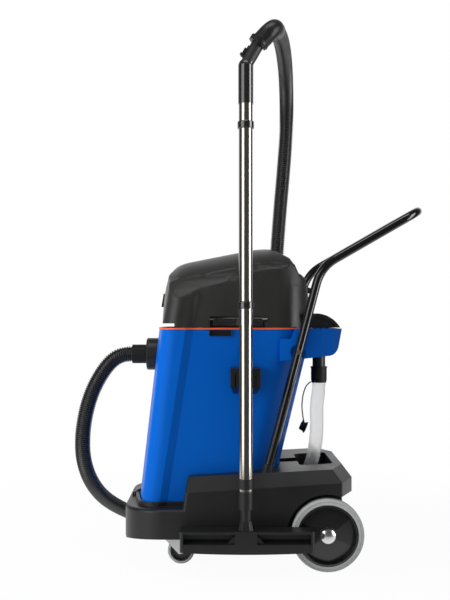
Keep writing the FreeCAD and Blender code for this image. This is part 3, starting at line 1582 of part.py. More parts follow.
def hose_inlet_cuff():
    """Rubber cuff that plugs into the inlet and holds the hose's end."""
    x0 = cuff_front_x
    x1 = x0 + cuff_length
    body = rod(V(x0, 0, inlet_z), X_AXIS, cuff_r, cuff_length)
    plug = rod(V(x1, 0, inlet_z), X_AXIS, inlet_bore_r - 0.1, 44)
    bore = rod(V(x0 - 1, 0, inlet_z), X_AXIS, hose_bore_r, cuff_length + 60)
    seat = rod(V(x0 - 1, 0, inlet_z), X_AXIS, hose_r, cuff_seat + 1)
    return body.fuse(plug).cut(bore).cut(seat)


# Push handle

def handle_points():
    tip = V(handle_tip_x, 0, handle_tip_z)
    points = []
    for sign in (-1, 1):
        points.append([V(handle_foot_x, sign * handle_y, handle_foot_z),
                       V(handle_bend_x, sign * handle_y, handle_bend_z),
                       V(tip.x, sign * handle_y, tip.z)])
    return points[0] + points[1][::-1]


def push_handle():
    """One bent tube: two legs, two bends and a grip across the rear."""
    path, radii = route_wire(handle_points(),
                             [handle_bend_r, handle_corner_r, handle_corner_r, handle_bend_r])
    tube = swept_tube(path, handle_tube_r, handle_tube_r - handle_sheet)
    x = handle_foot_point(tray_fix_z)
    return tube.cut(rod(V(x, -400, tray_fix_z), Y_AXIS, handle_bolt_r, 800))


def handle_leg(sign, radius):
    """The solid space that a straight leg of the handle takes up."""
    length = (handle_bend_z - handle_foot_z) / handle_lean.z
    return rod(handle_foot(sign), handle_lean, radius, length)


def handle_bolts():
    """Bolts and spacers that hold the handle's legs to the tray."""
    bolts = []
    for sign in (-1, 1):
        y_seat = tray_half_width - tray_fix_depth
        at = V(handle_foot_point(tray_fix_z), sign * y_seat, tray_fix_z)
        out = Y_AXIS * sign
        reach = handle_y - y_seat
        spacer = rod(at, out, handle_spacer_r, reach)
        spacer = spacer.cut(handle_leg(sign, handle_tube_r))
        head = rod(at + out * (reach + handle_tube_r - 2), out, 6.5, 6)
        head = head.cut(handle_leg(sign, handle_tube_r))
        nut = rod(at - out * (tray_wall + 5), out, 6, 5)
        bolt = rod(at - out * (tray_wall + 7), out, handle_bolt_r,
                   tray_wall + 7 + reach + handle_tube_r)
        bolts.append(fuse([spacer, bolt, head, nut]))
    return Part.makeCompound(bolts)


def handle_collars():
    """Collars round the handle's feet where they enter the trolley's sockets."""
    collars = []
    for sign in (-1, 1):
        at = V(handle_foot_point(handle_socket_top_z), sign * handle_y, handle_socket_top_z)
        collars.append(ring(at, handle_lean, handle_tube_r + 3, handle_tube_r,
                            handle_collar_length))
    return Part.makeCompound(collars)


# Floor tool

def neck_section(half_x, half_y, z):
    """An oblong with cut corners, round the wand's axis."""
    cut = half_y / 2
    quarter = [(half_x, half_y - cut), (half_x - cut, half_y)]
    points = quarter + [(-x, y) for x, y in reversed(quarter)]
    points += [(-x, -y) for x, y in points]
    corners = [V(wand_x + x, wand_y + y, z) for x, y in points]
    return Part.makePolygon(corners + corners[:1])


def tool_trough(x0, x1, side):
    """Open trough along one face of the floor tool, with a floor that rises inwards."""
    outer = side * (tool_depth / 2 + 1)
    inner = side * tool_core_half
    lip = side * (tool_depth / 2 - 3)
    top = tool_top_z - tool_trough_top
    outline = [(outer, tool_lip_z), (lip, tool_lip_z), (inner, tool_lip_z + tool_trough_rise),
               (inner, top), (outer, top)]
    corners = [V(x0, wand_y + y, z) for y, z in outline]
    return Part.Face(Part.makePolygon(corners + corners[:1])).extrude(V(x1 - x0, 0, 0))


def floor_tool():
    """Wide nozzle: an open frame of troughs, a fan-shaped neck and a sleeve."""
    x0 = tool_x - tool_half_length
    x1 = tool_x + tool_half_length
    y0 = wand_y - tool_depth / 2
    y1 = wand_y + tool_depth / 2
    low = tool_bottom_z
    end_z = low + tool_bottom_rise
    outline = Part.Wire([
        arc_through(V(x0, y0, end_z), V(tool_x, y0, low), V(x1, y0, end_z)),
        Part.LineSegment(V(x1, y0, end_z), V(x1, y0, tool_top_z)).toShape(),
        Part.LineSegment(V(x1, y0, tool_top_z), V(x0, y0, tool_top_z)).toShape(),
        Part.LineSegment(V(x0, y0, tool_top_z), V(x0, y0, end_z)).toShape()])
    body = Part.Face(outline).extrude(V(0, y1 - y0, 0))
    uprights = [edge for edge in body.Edges
                if abs(edge.tangentAt(edge.FirstParameter).z) > 0.99]
    body = body.makeFillet(tool_end_r, uprights)
    spans = ((x0 + tool_rim, wand_x - tool_neck_half - 2, -1),
             (wand_x + tool_neck_half + 2, x1 - tool_rim, 1))
    for a, b, hand in spans:
        for side in (-1, 1):
            body = body.cut(tool_trough(a, b, side))
        x = wand_x + hand * (tool_neck_half - 3)
        gusset = side_prism([(x, tool_lip_z - 2), (x + hand * tool_gusset, tool_lip_z - 2),
                             (x, tool_lip_z + tool_gusset)],
                            wand_y - tool_depth / 2 + 8, wand_y + tool_depth / 2 - 8)
        body = body.fuse(gusset)
    mouth = box(x0 + 6, x1 - 6, y0 + 12, y1 - 12, low - 1, low + 20)
    body = body.cut(mouth)
    neck = Part.makeLoft([
        neck_section(tool_neck_half, tool_depth / 2 - 3, tool_lip_z - 2),
        neck_section(tool_neck_top_half, tool_neck_top_half, tool_neck_top_z)], True, True)
    stem = rod(V(wand_x, wand_y, tool_neck_top_z - 4), Z_AXIS, tool_neck_r,
               tool_sleeve_z - tool_neck_top_z + 5)
    sleeve = rod(V(wand_x, wand_y, tool_sleeve_z), Z_AXIS, sleeve_r,
                 tool_sleeve_top_z - tool_sleeve_z)
    body = fuse([body, neck, stem, sleeve])
    bore = rod(V(wand_x, wand_y, low - 1), Z_AXIS, tool_bore_r, 170)
    socket = rod(V(wand_x, wand_y, wand_bottom_z), Z_AXIS, wand_r + 0.2, 60)
    return body.cut(bore).cut(socket)


def tool_collar():
    """Collar on the wand's lower end that locks the floor tool."""
    return ring(V(wand_x, wand_y, 236), Z_AXIS, sleeve_r + 1, wand_r, 27)


def tool_blades():
    """Two rubber squeegee blades along the tool's mouth."""
    x0 = tool_x - tool_half_length + 8
    x1 = tool_x + tool_half_length - 8
    blades = []
    for y in (wand_y - tool_depth / 2 + 12.5, wand_y + tool_depth / 2 - 16.5):
        blades.append(box(x0, x1, y, y + 4, tool_bottom_z + 1.5, tool_bottom_z + 19))
    return Part.makeCompound(blades)


parts = {
    "trolley": trolley(),
    "tank_catch": tank_catch(),
    "catch_pin": catch_pin(),
    "rear_axle": rear_axle(),
    "wheel_caps": Part.makeCompound([wheel_cap(-1), wheel_cap(1)]),
    "caster_plates": Part.makeCompound([caster_plate(-1), caster_plate(1)]),
    "tank": tank(),
    "rim_seal": seal(),
    "head_cover": head_cover(),
    "head_base": head_base(),
    "motor_housing": motor_housing(),
    "motor_bearings": bearings(),
    "rotor": rotor(),
    "impeller": impeller(),
    "filter_cartridge": filter_cartridge(),
    "float_cage": float_cage(),
    "float": float_body(),
    "switch_bezel": switch_bezel(),
    "switch_rocker": rocker(),
    "cord_gland": cord_gland(),
    "rear_tray": rear_tray(),
    "cord_hook": cord_hook(),
    "latch_near": latch(-1),
    "latch_far": latch(1),
    "latch_pins": latch_pins(),
    "drain_stub": drain_stub(),
    "drain_cuff": drain_cuff(),
    "drain_outlet": drain_outlet(),
    "drain_hose": drain_hose(),
    "drain_strap": drain_strap(),
    "drain_stopper": stopper(),
    "inlet_collar": inlet_collar(),
    "hose_inlet_cuff": hose_inlet_cuff(),
    "suction_hose": suction_hose(),
    "hose_elbow": hose_elbow(),
    "bend_tube": bend_tube(),
    "air_slider": air_slider(),
    "wand_upper": wand_upper(),
    "wand_lower": wand_lower(),
    "wand_ring_upper": tube_ring(upper_ring_top_z, wand_r),
    "wand_ring_lower": tube_ring(lower_ring_top_z, wand_r + wand_sheet),
    "wand_clip": wand_clip(),
    "tool_collar": tool_collar(),
    "floor_tool": floor_tool(),
    "tool_blades": tool_blades(),
    "push_handle": push_handle(),
    "handle_bolts": handle_bolts(),
    "handle_collars": handle_collars(),
}
for name, sign in (("near", -1), ("far", 1)):
    parts["wheel_hub_" + name] = wheel_hub(sign)
    parts["wheel_tyre_" + name] = wheel_tyre(sign)
    parts["caster_fork_" + name] = caster_fork(sign)
    parts["caster_axle_" + name] = caster_axle(sign)
    parts["caster_hub_" + name] = caster_hub(sign)
    parts["caster_tyre_" + name] = caster_tyre(sign)

os.makedirs("parts", exist_ok=True)
for name, shape in parts.items():
    shape.exportStep("parts/" + name + ".step")
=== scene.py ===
"""Looks of a wet and dry vacuum cleaner on a trolley: hoses, finishes, studio and camera."""

import json
import math

import bmesh
import bpy
from bpy.props import FloatProperty, FloatVectorProperty, PointerProperty
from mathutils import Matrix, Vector


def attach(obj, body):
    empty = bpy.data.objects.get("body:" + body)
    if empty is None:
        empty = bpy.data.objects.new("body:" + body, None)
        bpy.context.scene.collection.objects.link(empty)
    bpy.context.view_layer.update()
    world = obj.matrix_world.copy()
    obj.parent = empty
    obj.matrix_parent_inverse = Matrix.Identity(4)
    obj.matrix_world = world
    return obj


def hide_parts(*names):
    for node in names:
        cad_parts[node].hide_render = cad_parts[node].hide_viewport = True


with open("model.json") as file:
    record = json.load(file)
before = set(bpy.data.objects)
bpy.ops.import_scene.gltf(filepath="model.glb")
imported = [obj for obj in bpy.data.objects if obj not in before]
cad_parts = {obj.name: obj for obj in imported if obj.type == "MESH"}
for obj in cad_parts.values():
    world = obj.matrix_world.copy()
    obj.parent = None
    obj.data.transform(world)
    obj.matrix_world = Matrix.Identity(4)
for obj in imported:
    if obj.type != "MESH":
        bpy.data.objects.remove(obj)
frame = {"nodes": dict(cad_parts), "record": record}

bl_info = {
    "name": "Wet and dry vacuum cleaner",
    "version": (1, 0, 0),
    "blender": (4, 5, 0),
    "location": "3D view > Sidebar > Vacuum",
    "description": "Dresses a vacuum cleaner on a trolley with hoses, finishes and a studio",
    "category": "Object",
}

MM = 0.001
MACHINE = "machine"

# The camera stands where the photograph was taken from; the rest is in the photograph's pixels
CAMERA_PLACE = (-0.078, -2.8, 0.696)
CAMERA_FAR_END = 60.0
PHOTO_FOCAL_LENGTH = 938.0
PHOTO_LONG_SIDE = 600.0
PHOTO_SHIFT = (5.0, 17.0)

# Routes of the flexible pieces, as in the model of the solids, in millimetres
SUCTION_ROUTE = [
    (-335.7, 0, 586), (-370, 0, 586), (-404, 0, 564), (-434, 1, 524), (-460, 3, 474),
    (-479, 6, 414), (-490, 9, 345), (-491, 25, 270), (-476, 72, 196), (-446, 141, 132),
    (-400, 210, 84), (-340, 268, 45), (-268, 307, 25.5), (-186, 326, 22.4),
    (-103, 331, 29), (-28, 330, 72), (32, 326, 134), (70, 320, 213), (87, 314, 306),
    (93, 308, 430), (96, 303, 570), (101, 300, 720), (108, 302, 880), (119, 308, 1030),
    (131, 313, 1160), (141, 313, 1290), (141, 285, 1372), (136, 226, 1430),
    (128, 146, 1466), (117, 45, 1482), (104, -60, 1490), (90, -160, 1488), (76, -236, 1478),
]
DRAIN_ROUTE = [
    (108, 0, 196), (138, 0, 196), (166, 0, 211), (188, 0, 242), (201, 0, 282),
    (209, 0, 330), (211, 0, 384), (210, 0, 436), (217, 0, 476), (217, 0, 516),
]
STRAP_ROUTE = [
    (193, -4, 503), (184, -5, 498), (176, -6, 486), (170, -6, 468), (167, -5, 448),
    (166, -4, 428), (168, -2, 408), (171, 0, 388),
]

# Rib of a hose: the shares of its pitch at which the wall leaves the root, reaches the top of
# the rib and leaves that top again
RIB_SHARES = (0.32, 0.46, 0.86)
SUCTION_SIDES = 20
DRAIN_SIDES = 28

# The strap has shallow notches: their pitch, and the share of its radius left in a notch
STRAP_SIDES = 12
STRAP_PITCH = 0.004
STRAP_NOTCH = 0.8

# Heights between which the wand's glossy sleeve turns into the matt bend
SLEEVE_EDGE = (1.372, 1.382)

# Pocket of the tank's grip slots, near and far: middle, size and wall of its liner
GRIP_MIDDLE = (-0.077, 0.1798, 0.651)
GRIP_SIZE = (0.0634, 0.0110, 0.0164)
GRIP_WALL = 0.0012
GRIP_BEVEL = 0.0003

# Band of the stopper's strap round the drain hose
BAND_MIDDLE = (0.217, 0.0, 0.5035)
BAND_RADIUS = 0.0211
BAND_WALL = 0.002
BAND_HEIGHT = 0.005
BAND_SIDES = 64
BAND_BEVEL = 0.0006
BAND_SMOOTH = math.radians(35)

# The solid head cover is plainer than the one in the photograph. This is how far its top is
# lifted at each place along it, and the heights between which the lift grows to all of it
HEAD_LIFT = [
    (-0.257, -0.006), (-0.240, -0.012), (-0.227, -0.012), (-0.215, -0.008), (-0.203, -0.002),
    (-0.191, 0.0025), (-0.170, 0.0045), (-0.040, 0.0055), (0.020, 0.0055), (0.045, 0.003),
    (0.062, 0.0), (0.104, -0.010), (0.121, -0.0125), (0.130, -0.022), (0.139, -0.026),
    (0.147, -0.019), (0.156, -0.015), (0.189, -0.006),
]
HEAD_FADE = (0.785, 0.815)
HEAD_STATIONS = 38
HEAD_LEVELS = 9
HEAD_WELD = 0.00002
HEAD_SMOOTH = math.radians(40)

# Finishes: the range in which most of a noise lies, the cells to a metre of uneven colour, how
# far gloss varies, and the shares by which drawn lines darken and lighten a metal
NOISE_RANGE = (0.3, 0.7)
UNEVEN_SCALE = 7.0
ROUGHNESS_PLAY = 0.04
METAL_ROUGHNESS_PLAY = (-0.03, 0.05)
METAL_TINTS = (0.9, 1.08)

# Floor: its size, how far it lies under the object, the distances over which it turns pure
# white, and the span along Y over which its mirror image brightens
FLOOR_RADIUS = 2.0
FLOOR_SIDES = 96
FLOOR_DROP = 0.0005
FLOOR_GREY = (0.80, 0.80, 0.80, 1.0)
FLOOR_FADE = (0.8, 1.8)
FLOOR_MIRROR = (-1.3, 0.2)
WORLD_MIRROR = (0.40, 0.95)
WHITE = (1.0, 1.0, 1.0, 1.0)

# Lamps: name, place, width, height, setting that holds the power, and rays that don't see it
LAMP_AIM = (0.0, 0.0, 0.75)
LAMPS = [
    ("left_softbox", (-2.15, -2.25, 1.15), 2.0, 2.9, "left_watts", "visible_diffuse"),
    ("right_softbox", (2.8, -1.25, 1.05), 1.3, 2.9, "right_watts", "visible_diffuse"),
    ("left_side_light", (-2.65, -1.15, 1.1), 1.4, 2.2, "side_watts", "visible_glossy"),
    ("top_softbox", (0.05, -0.95, 3.3), 1.8, 0.9, "top_watts", None),
]


# Sizes and colours that a user would change

def colour(name, text, value):
    return FloatVectorProperty(name=name, description=text, default=value, size=3,
                               subtype="COLOR", min=0.0, max=1.0)


def length(name, text, value):
    return FloatProperty(name=name, description=text, default=value, min=0.0,
                         subtype="DISTANCE", unit="LENGTH")


def level(name, text, value):
    return FloatProperty(name=name, description=text, default=value, min=0.0)


class VACUUM_PG_hoses(bpy.types.PropertyGroup):
    suction_radius: length("Suction radius", "Outer radius over the ribs", 0.023)
    suction_root: length("Suction root", "Radius between the ribs", 0.0200)
    suction_pitch: length("Suction pitch", "Distance from rib to rib", 0.0062)
    drain_radius: length("Drain radius", "Outer radius over the ribs", 0.020)
    drain_root: length("Drain root", "Radius between the ribs", 0.0187)
    drain_pitch: length("Drain pitch", "Distance from rib to rib", 0.0040)
    strap_radius: length("Strap radius", "Radius of the stopper's strap", 0.002)


class VACUUM_PG_colours(bpy.types.PropertyGroup):
    black: colour("Black plastic", "Moulded trolley and fittings", (0.0105, 0.0107, 0.0107))
    # The black plastic made lighter for the head: the extra lightness is painted light for the
    # brighter light that falls on the head.
    head: colour("Head plastic", "Moulded cover of the motor head", (0.026, 0.0258, 0.0252))
    blue: colour("Blue plastic", "Tank and tray", (0.0, 0.096, 0.47))
    steel: colour("Steel", "Drawn stainless tubes", (0.58, 0.55, 0.50))
    coat: colour("Black coat", "Powder coat of the handle", (0.006, 0.006, 0.0065))
    tyre: colour("Tyre grey", "Non-marking rubber", (0.45, 0.46, 0.46))
    hose: colour("Hose black", "Ribbed suction hose", (0.007, 0.007, 0.0073))
    clear: colour("Clear hose", "Milky drain hose", (0.90, 0.90, 0.90))
    seal: colour("Seal red", "Rubber rim seal", (0.80, 0.10, 0.035))
    zinc: colour("Zinc", "Plated caster sheet", (0.70, 0.71, 0.70))


class VACUUM_PG_studio(bpy.types.PropertyGroup):
    left_watts: level("Left lamp", "Power of the softbox at the front left", 38.0)
    side_watts: level("Side lamp", "Power of the lamp at the left, out of reflections", 84.0)
    right_watts: level("Right lamp", "Power of the softbox at the right", 64.0)
    top_watts: level("Top lamp", "Power of the softbox overhead", 19.0)
    soft_level: level("Soft light", "Even light from all around", 0.48)
    front_level: level("Front", "What shiny pieces reflect in front", 0.07)
    back_level: level("Back", "What shiny pieces reflect behind", 1.0)
    floor_white: level("Floor white", "Share of pure white in the floor near the object", 0.955)


def hose_sizes():
    return bpy.context.scene.vacuum_hoses


def colours():
    return bpy.context.scene.vacuum_colours


def studio():
    return bpy.context.scene.vacuum_studio


# Helpers

def deselect():
    bpy.ops.object.select_all(action="DESELECT")


def only(piece):
    """Make a piece the one that the next operator works on."""
    deselect()
    piece.select_set(True)
    bpy.context.view_layer.objects.active = piece


def metres(points):
    return [Vector(point) * MM for point in points]


def finish_piece(piece, material):
    piece.data.materials.clear()
    piece.data.materials.append(material)
    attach(piece, MACHINE)


def new_object(name, data):
    piece = bpy.data.objects.new(name, data)
    bpy.context.scene.collection.objects.link(piece)
    return piece


# Flexible pieces

def route_curve(name, points):
    """A smooth curve whose control points are the route's points."""
    data = bpy.data.curves.new(name, "CURVE")
    data.dimensions = "3D"
    spline = data.splines.new("NURBS")
    spline.points.add(len(points) - 1)
    for slot_point, point in zip(spline.points, points):
        slot_point.co = (*point, 1.0)
    spline.order_u = 3
    spline.use_endpoint_u = True
    spline.resolution_u = 16
    return new_object(name, data)


def route_points(name, route):
    """Points along the smooth curve of a route in millimetres."""
    curve = route_curve(name + "_line", metres(route))
    bpy.context.view_layer.update()
    graph = bpy.context.evaluated_depsgraph_get()
    mesh = bpy.data.meshes.new_from_object(curve.evaluated_get(graph))
    points = [vertex.co.copy() for vertex in mesh.vertices]
    bpy.data.meshes.remove(mesh)
    bpy.data.objects.remove(curve)
    return points


def evenly(points, step):
    """The same line as points that lie about a step apart, and its length."""
    total = sum((b - a).length for a, b in zip(points, points[1:]))
    count = max(2, round(total / step))
    spacing = total / count
    out = [points[0].copy()]
    walked = 0.0
    wanted = spacing
    for a, b in zip(points, points[1:]):
        part = (b - a).length
        while wanted <= walked + part + 1e-9 and len(out) < count:
            out.append(a.lerp(b, (wanted - walked) / part))
            wanted += spacing
        walked += part
    out.append(points[-1].copy())
    return out, total


def ribbed_tube(name, path, pitch, profile, sides):
    """A closed tube along a path, and its length; the profile of a rib is (share, radius)."""
    centres, total = evenly(path, pitch)
    rings = []
    for a, b in zip(centres, centres[1:]):
        for share, radius in profile:
            rings.append((a.lerp(b, share), radius))
    rings.append((centres[-1], profile[0][1]))
    tangents = []
    for i in range(len(rings)):
        low = rings[max(0, i - 1)][0]
        high = rings[min(len(rings) - 1, i + 1)][0]
        tangents.append((high - low).normalized())
    side = tangents[0].orthogonal().normalized()
    mesh = bmesh.new()
    loops = []
    previous = tangents[0]
    for (centre, radius), tangent in zip(rings, tangents):
        side = previous.rotation_difference(tangent) @ side
        side = (side - tangent * side.dot(tangent)).normalized()
        up = tangent.cross(side)
        previous = tangent
        loops.append([mesh.verts.new(centre + (side * math.cos(turn) + up * math.sin(turn))
                                     * radius)
                      for turn in (2 * math.pi * k / sides for k in range(sides))])
    for low, high in zip(loops, loops[1:]):
        for k in range(sides):
            n = (k + 1) % sides
            mesh.faces.new((low[k], low[n], high[n], high[k]))
    mesh.faces.new(loops[0][::-1])
    mesh.faces.new(loops[-1])
    data = bpy.data.meshes.new(name)
    mesh.to_mesh(data)
    mesh.free()
    for polygon in data.polygons:
        polygon.use_smooth = len(polygon.vertices) == 4
    return new_object(name, data), total


def hose_piece(name, route, radius, root, pitch, sides, material, node):
    """A ribbed hose that stands for a solid one; also its path and length."""
    path = route_points(name, route)
    rise, top, fall = RIB_SHARES
    profile = [(0.0, root), (rise, root), (top, radius), (fall, radius)]
    piece, total = ribbed_tube(name, path, pitch, profile, sides)
    finish_piece(piece, material)
    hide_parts(node)
    return piece, path, total


class VACUUM_OT_hoses(bpy.types.Operator):
    """Lay the suction hose, the drain hose and the stopper's strap"""

    bl_idname = "vacuum.hoses"
    bl_label = "Hoses"

    def execute(self, context):
        sizes = hose_sizes()
        hose, path, total = hose_piece(
            "suction_hose_ribbed", SUCTION_ROUTE, sizes.suction_radius, sizes.suction_root,
            sizes.suction_pitch, SUCTION_SIDES, hose_black(), "suction_hose")
        hose, path, total = hose_piece(
            "drain_hose_ribbed", DRAIN_ROUTE, sizes.drain_radius, sizes.drain_root,
            sizes.drain_pitch, DRAIN_SIDES, hose_clear(), "drain_hose")
        path = route_points("stopper_strap", STRAP_ROUTE)
        profile = [(0.0, sizes.strap_radius), (0.5, sizes.strap_radius * STRAP_NOTCH)]
        strap, total = ribbed_tube("stopper_strap", path, STRAP_PITCH, profile, STRAP_SIDES)
        finish_piece(strap, rubber_black())
        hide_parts("drain_strap")
        return {"FINISHED"}


# Small pieces

def modifier(piece, kind, **values):
    """Add a modifier to a piece and apply it."""
    only(piece)
    added = piece.modifiers.new(kind.lower(), kind)
    for name, value in values.items():
        setattr(added, name, value)
    bpy.ops.object.modifier_apply(modifier=added.name)


def placed(piece, name):
    """Name a piece and put its place and size into its mesh."""
    piece.name = name
    piece.data.name = name
    only(piece)
    bpy.ops.object.transform_apply(location=True, rotation=True, scale=True)
    return piece


def grip_liner(name, sign):
    """A black tray in the pocket that a hand grips on one side of the tank."""
    deselect()
    x, y, z = GRIP_MIDDLE
    bpy.ops.mesh.primitive_cube_add(size=1.0, location=(x, sign * y, z), scale=GRIP_SIZE)
    piece = placed(bpy.context.object, name)
    bpy.ops.object.mode_set(mode="EDIT")
    bpy.ops.mesh.select_all(action="DESELECT")
    bpy.ops.object.mode_set(mode="OBJECT")
    for polygon in piece.data.polygons:
        polygon.select = polygon.normal.y * sign > 0.5
    bpy.ops.object.mode_set(mode="EDIT")
    bpy.ops.mesh.inset(thickness=GRIP_WALL)
    bpy.ops.mesh.extrude_region_move(
        TRANSFORM_OT_translate={"value": (0.0, -sign * (GRIP_SIZE[1] - GRIP_WALL), 0.0)})
    bpy.ops.object.mode_set(mode="OBJECT")
    modifier(piece, "BEVEL", width=GRIP_BEVEL, segments=2)
    finish_piece(piece, black_plastic())


def cut_all(place, normal):
    """Give the whole mesh in edit mode an edge where a plane crosses it."""
    bpy.ops.mesh.select_all(action="SELECT")
    bpy.ops.mesh.bisect(plane_co=place, plane_no=normal)


def between(pairs, place):
    """Value at a place, on straight lines between pairs of place and value."""
    for (a, low), (b, high) in zip(pairs, pairs[1:]):
        if place <= b:
            share = max(0.0, (place - a) / (b - a))
            return low + share * (high - low)
    return pairs[-1][1]


class VACUUM_OT_head(bpy.types.Operator):
    """Round the head's front corner and draw down its rear shoulder"""

    bl_idname = "vacuum.head"
    bl_label = "Head"

    def execute(self, context):
        piece = new_object("head_cover_shaped", frame["nodes"]["head_cover"].data.copy())
        only(piece)
        bpy.ops.object.mode_set(mode="EDIT")
        bpy.ops.mesh.select_all(action="SELECT")
        bpy.ops.mesh.remove_doubles(threshold=HEAD_WELD)
        context.view_layer.update()
        # The first and the seventh corner of a bounding box are its lowest and highest
        low, high = Vector(piece.bound_box[0]), Vector(piece.bound_box[6])
        size = high - low
        step_x = size.x / (HEAD_STATIONS - 1)
        step_z = size.z / (HEAD_LEVELS - 1)
        for i in range(1, HEAD_STATIONS - 1):
            cut_all((low.x + i * step_x, 0, 0), (1, 0, 0))
        for i in range(1, HEAD_LEVELS - 1):
            cut_all((0, 0, low.z + i * step_z), (0, 0, 1))
        bpy.ops.object.mode_set(mode="OBJECT")
        middle = (low + high) / 2
        deselect()
        bpy.ops.object.add(type="LATTICE", location=middle)
        cage = context.object
        cage.scale = size
        grid = cage.data
        grid.points_u, grid.points_v, grid.points_w = HEAD_STATIONS, 2, HEAD_LEVELS
        grid.interpolation_type_u = "KEY_LINEAR"
        grid.interpolation_type_v = "KEY_LINEAR"
        grid.interpolation_type_w = "KEY_LINEAR"
        for point in grid.points:
            place = middle.x + point.co.x * size.x
            height = middle.z + point.co.z * size.z
            share = between([(HEAD_FADE[0], 0.0), (HEAD_FADE[1], 1.0)], height)
            point.co_deform.z += share * between(HEAD_LIFT, place) / size.z
        context.view_layer.update()
        modifier(piece, "LATTICE", object=cage)
        bpy.data.objects.remove(cage)
        bpy.ops.object.shade_smooth_by_angle(angle=HEAD_SMOOTH)
        finish_piece(piece, head_black_painted_lighter())
        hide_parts("head_cover")
        return {"FINISHED"}


class VACUUM_OT_details(bpy.types.Operator):
    """Line the tank's grip slots and put the strap's band round the drain hose"""

    bl_idname = "vacuum.details"
    bl_label = "Details"

    def execute(self, context):
        grip_liner("grip_liner_near", -1)
        grip_liner("grip_liner_far", 1)
        deselect()
        bpy.ops.mesh.primitive_cylinder_add(
            vertices=BAND_SIDES, radius=BAND_RADIUS, depth=BAND_HEIGHT,
            end_fill_type="NOTHING", location=BAND_MIDDLE)
        band = placed(context.object, "strap_band")
        modifier(band, "SOLIDIFY", thickness=BAND_WALL, offset=0.0)
        modifier(band, "BEVEL", width=BAND_BEVEL, segments=2)
        bpy.ops.object.shade_smooth_by_angle(angle=BAND_SMOOTH)
        finish_piece(band, rubber_black())
        return {"FINISHED"}


# Finishes

def nodes_of(name):
    material = bpy.data.materials.new(name)
    material.use_nodes = True
    tree = material.node_tree
    return material, tree, tree.nodes["Principled BSDF"]


def object_noise(tree, scale, detail, stretch=None):
    """Noise on the object's own coordinates, in cells per metre."""
    coordinates = tree.nodes.new("ShaderNodeTexCoord")
    noise = tree.nodes.new("ShaderNodeTexNoise")
    noise.inputs["Scale"].default_value = scale
    noise.inputs["Detail"].default_value = detail
    source = coordinates.outputs["Object"]
    if stretch:
        mapping = tree.nodes.new("ShaderNodeMapping")
        mapping.inputs["Scale"].default_value = stretch
        tree.links.new(source, mapping.inputs["Vector"])
        source = mapping.outputs["Vector"]
    tree.links.new(source, noise.inputs["Vector"])
    return noise.outputs["Fac"]


def ranged(tree, value, span, levels, change="LINEAR"):
    """Take a value from a span to the range between two levels."""
    node = tree.nodes.new("ShaderNodeMapRange")
    node.interpolation_type = change
    node.inputs["From Min"].default_value = span[0]
    node.inputs["From Max"].default_value = span[1]
    node.inputs["To Min"].default_value = levels[0]
    node.inputs["To Max"].default_value = levels[1]
    tree.links.new(value, node.inputs["Value"])
    return node.outputs["Result"]


def ramped(tree, value, span, levels):
    """The same with a smooth start and end."""
    return ranged(tree, value, span, levels, "SMOOTHSTEP")


def tinted(tree, factor, base, dark_share, light_share):
    """Vary a colour between a darker and a lighter share of it by a noise."""
    dark = [c * dark_share for c in base]
    light = [min(1.0, c * light_share) for c in base]
    mix = tree.nodes.new("ShaderNodeMix")
    mix.data_type = "RGBA"
    mix.inputs["A"].default_value = (*dark, 1.0)
    mix.inputs["B"].default_value = (*light, 1.0)
    tree.links.new(factor, mix.inputs["Factor"])
    return mix.outputs["Result"]


def bumped(tree, height, distance, edge):
    """Fine relief; with an edge radius, sharp edges catch light as if rounded by it."""
    bump = tree.nodes.new("ShaderNodeBump")
    if edge:
        soft_edge = tree.nodes.new("ShaderNodeBevel")
        soft_edge.samples = 4
        soft_edge.inputs["Radius"].default_value = edge
        tree.links.new(soft_edge.outputs["Normal"], bump.inputs["Normal"])
    bump.inputs["Distance"].default_value = distance
    tree.links.new(height, bump.inputs["Height"])
    return bump.outputs["Normal"]


def moulded(name, base, roughness, grain_scale, grain_depth, vary=0.12, specular=0.3,
            edge=0.0015):
    """Moulded plastic or rubber: fine grain, slightly uneven colour and gloss."""
    material, tree, shader = nodes_of(name)
    broad = object_noise(tree, UNEVEN_SCALE, 3.0)
    fine = object_noise(tree, grain_scale, 3.0)
    gloss = (roughness - ROUGHNESS_PLAY, roughness + ROUGHNESS_PLAY)
    tree.links.new(tinted(tree, broad, base, 1 - vary, 1 + vary), shader.inputs["Base Color"])
    tree.links.new(ranged(tree, broad, NOISE_RANGE, gloss), shader.inputs["Roughness"])
    tree.links.new(bumped(tree, fine, grain_depth, edge), shader.inputs["Normal"])
    shader.inputs["Specular IOR Level"].default_value = specular
    return material


def once(maker):
    """Make each finish only once."""
    made = {}

    def get():
        if "material" not in made:
            made["material"] = maker()
        return made["material"]
    return get


@once
def black_plastic():
    return moulded("black_plastic_grain", colours().black, 0.40, 900.0, 0.00010, specular=0.5)


# The head is the same black plastic as the rest, given a lighter base colour: the extra
# lightness is painted light for the brighter light that falls on the head.
@once
def head_black_painted_lighter():
    return moulded("head_plastic_grain", colours().head, 0.36, 900.0, 0.00008, specular=0.36,
                   edge=0.004)


@once
def blue_plastic():
    return moulded("blue_plastic_satin", colours().blue, 0.38, 700.0, 0.00005, vary=0.04,
                   specular=0.06, edge=0.0012)


def glossy(name, base, coat_roughness=0.08, edge=0.0015, specular=0.8):
    """Black that is smooth enough to mirror the lamps."""
    material = moulded(name, base, 0.2, 1800.0, 0.000002, specular=specular, edge=edge)
    shader = material.node_tree.nodes["Principled BSDF"]
    shader.inputs["Coat Weight"].default_value = 0.9
    shader.inputs["Coat Roughness"].default_value = coat_roughness
    return material


@once
def hub_black():
    return moulded("wheel_hub_satin", colours().black, 0.24, 900.0, 0.00002, specular=0.8)


@once
def grip_black():
    return glossy("grip_black_gloss", colours().black)


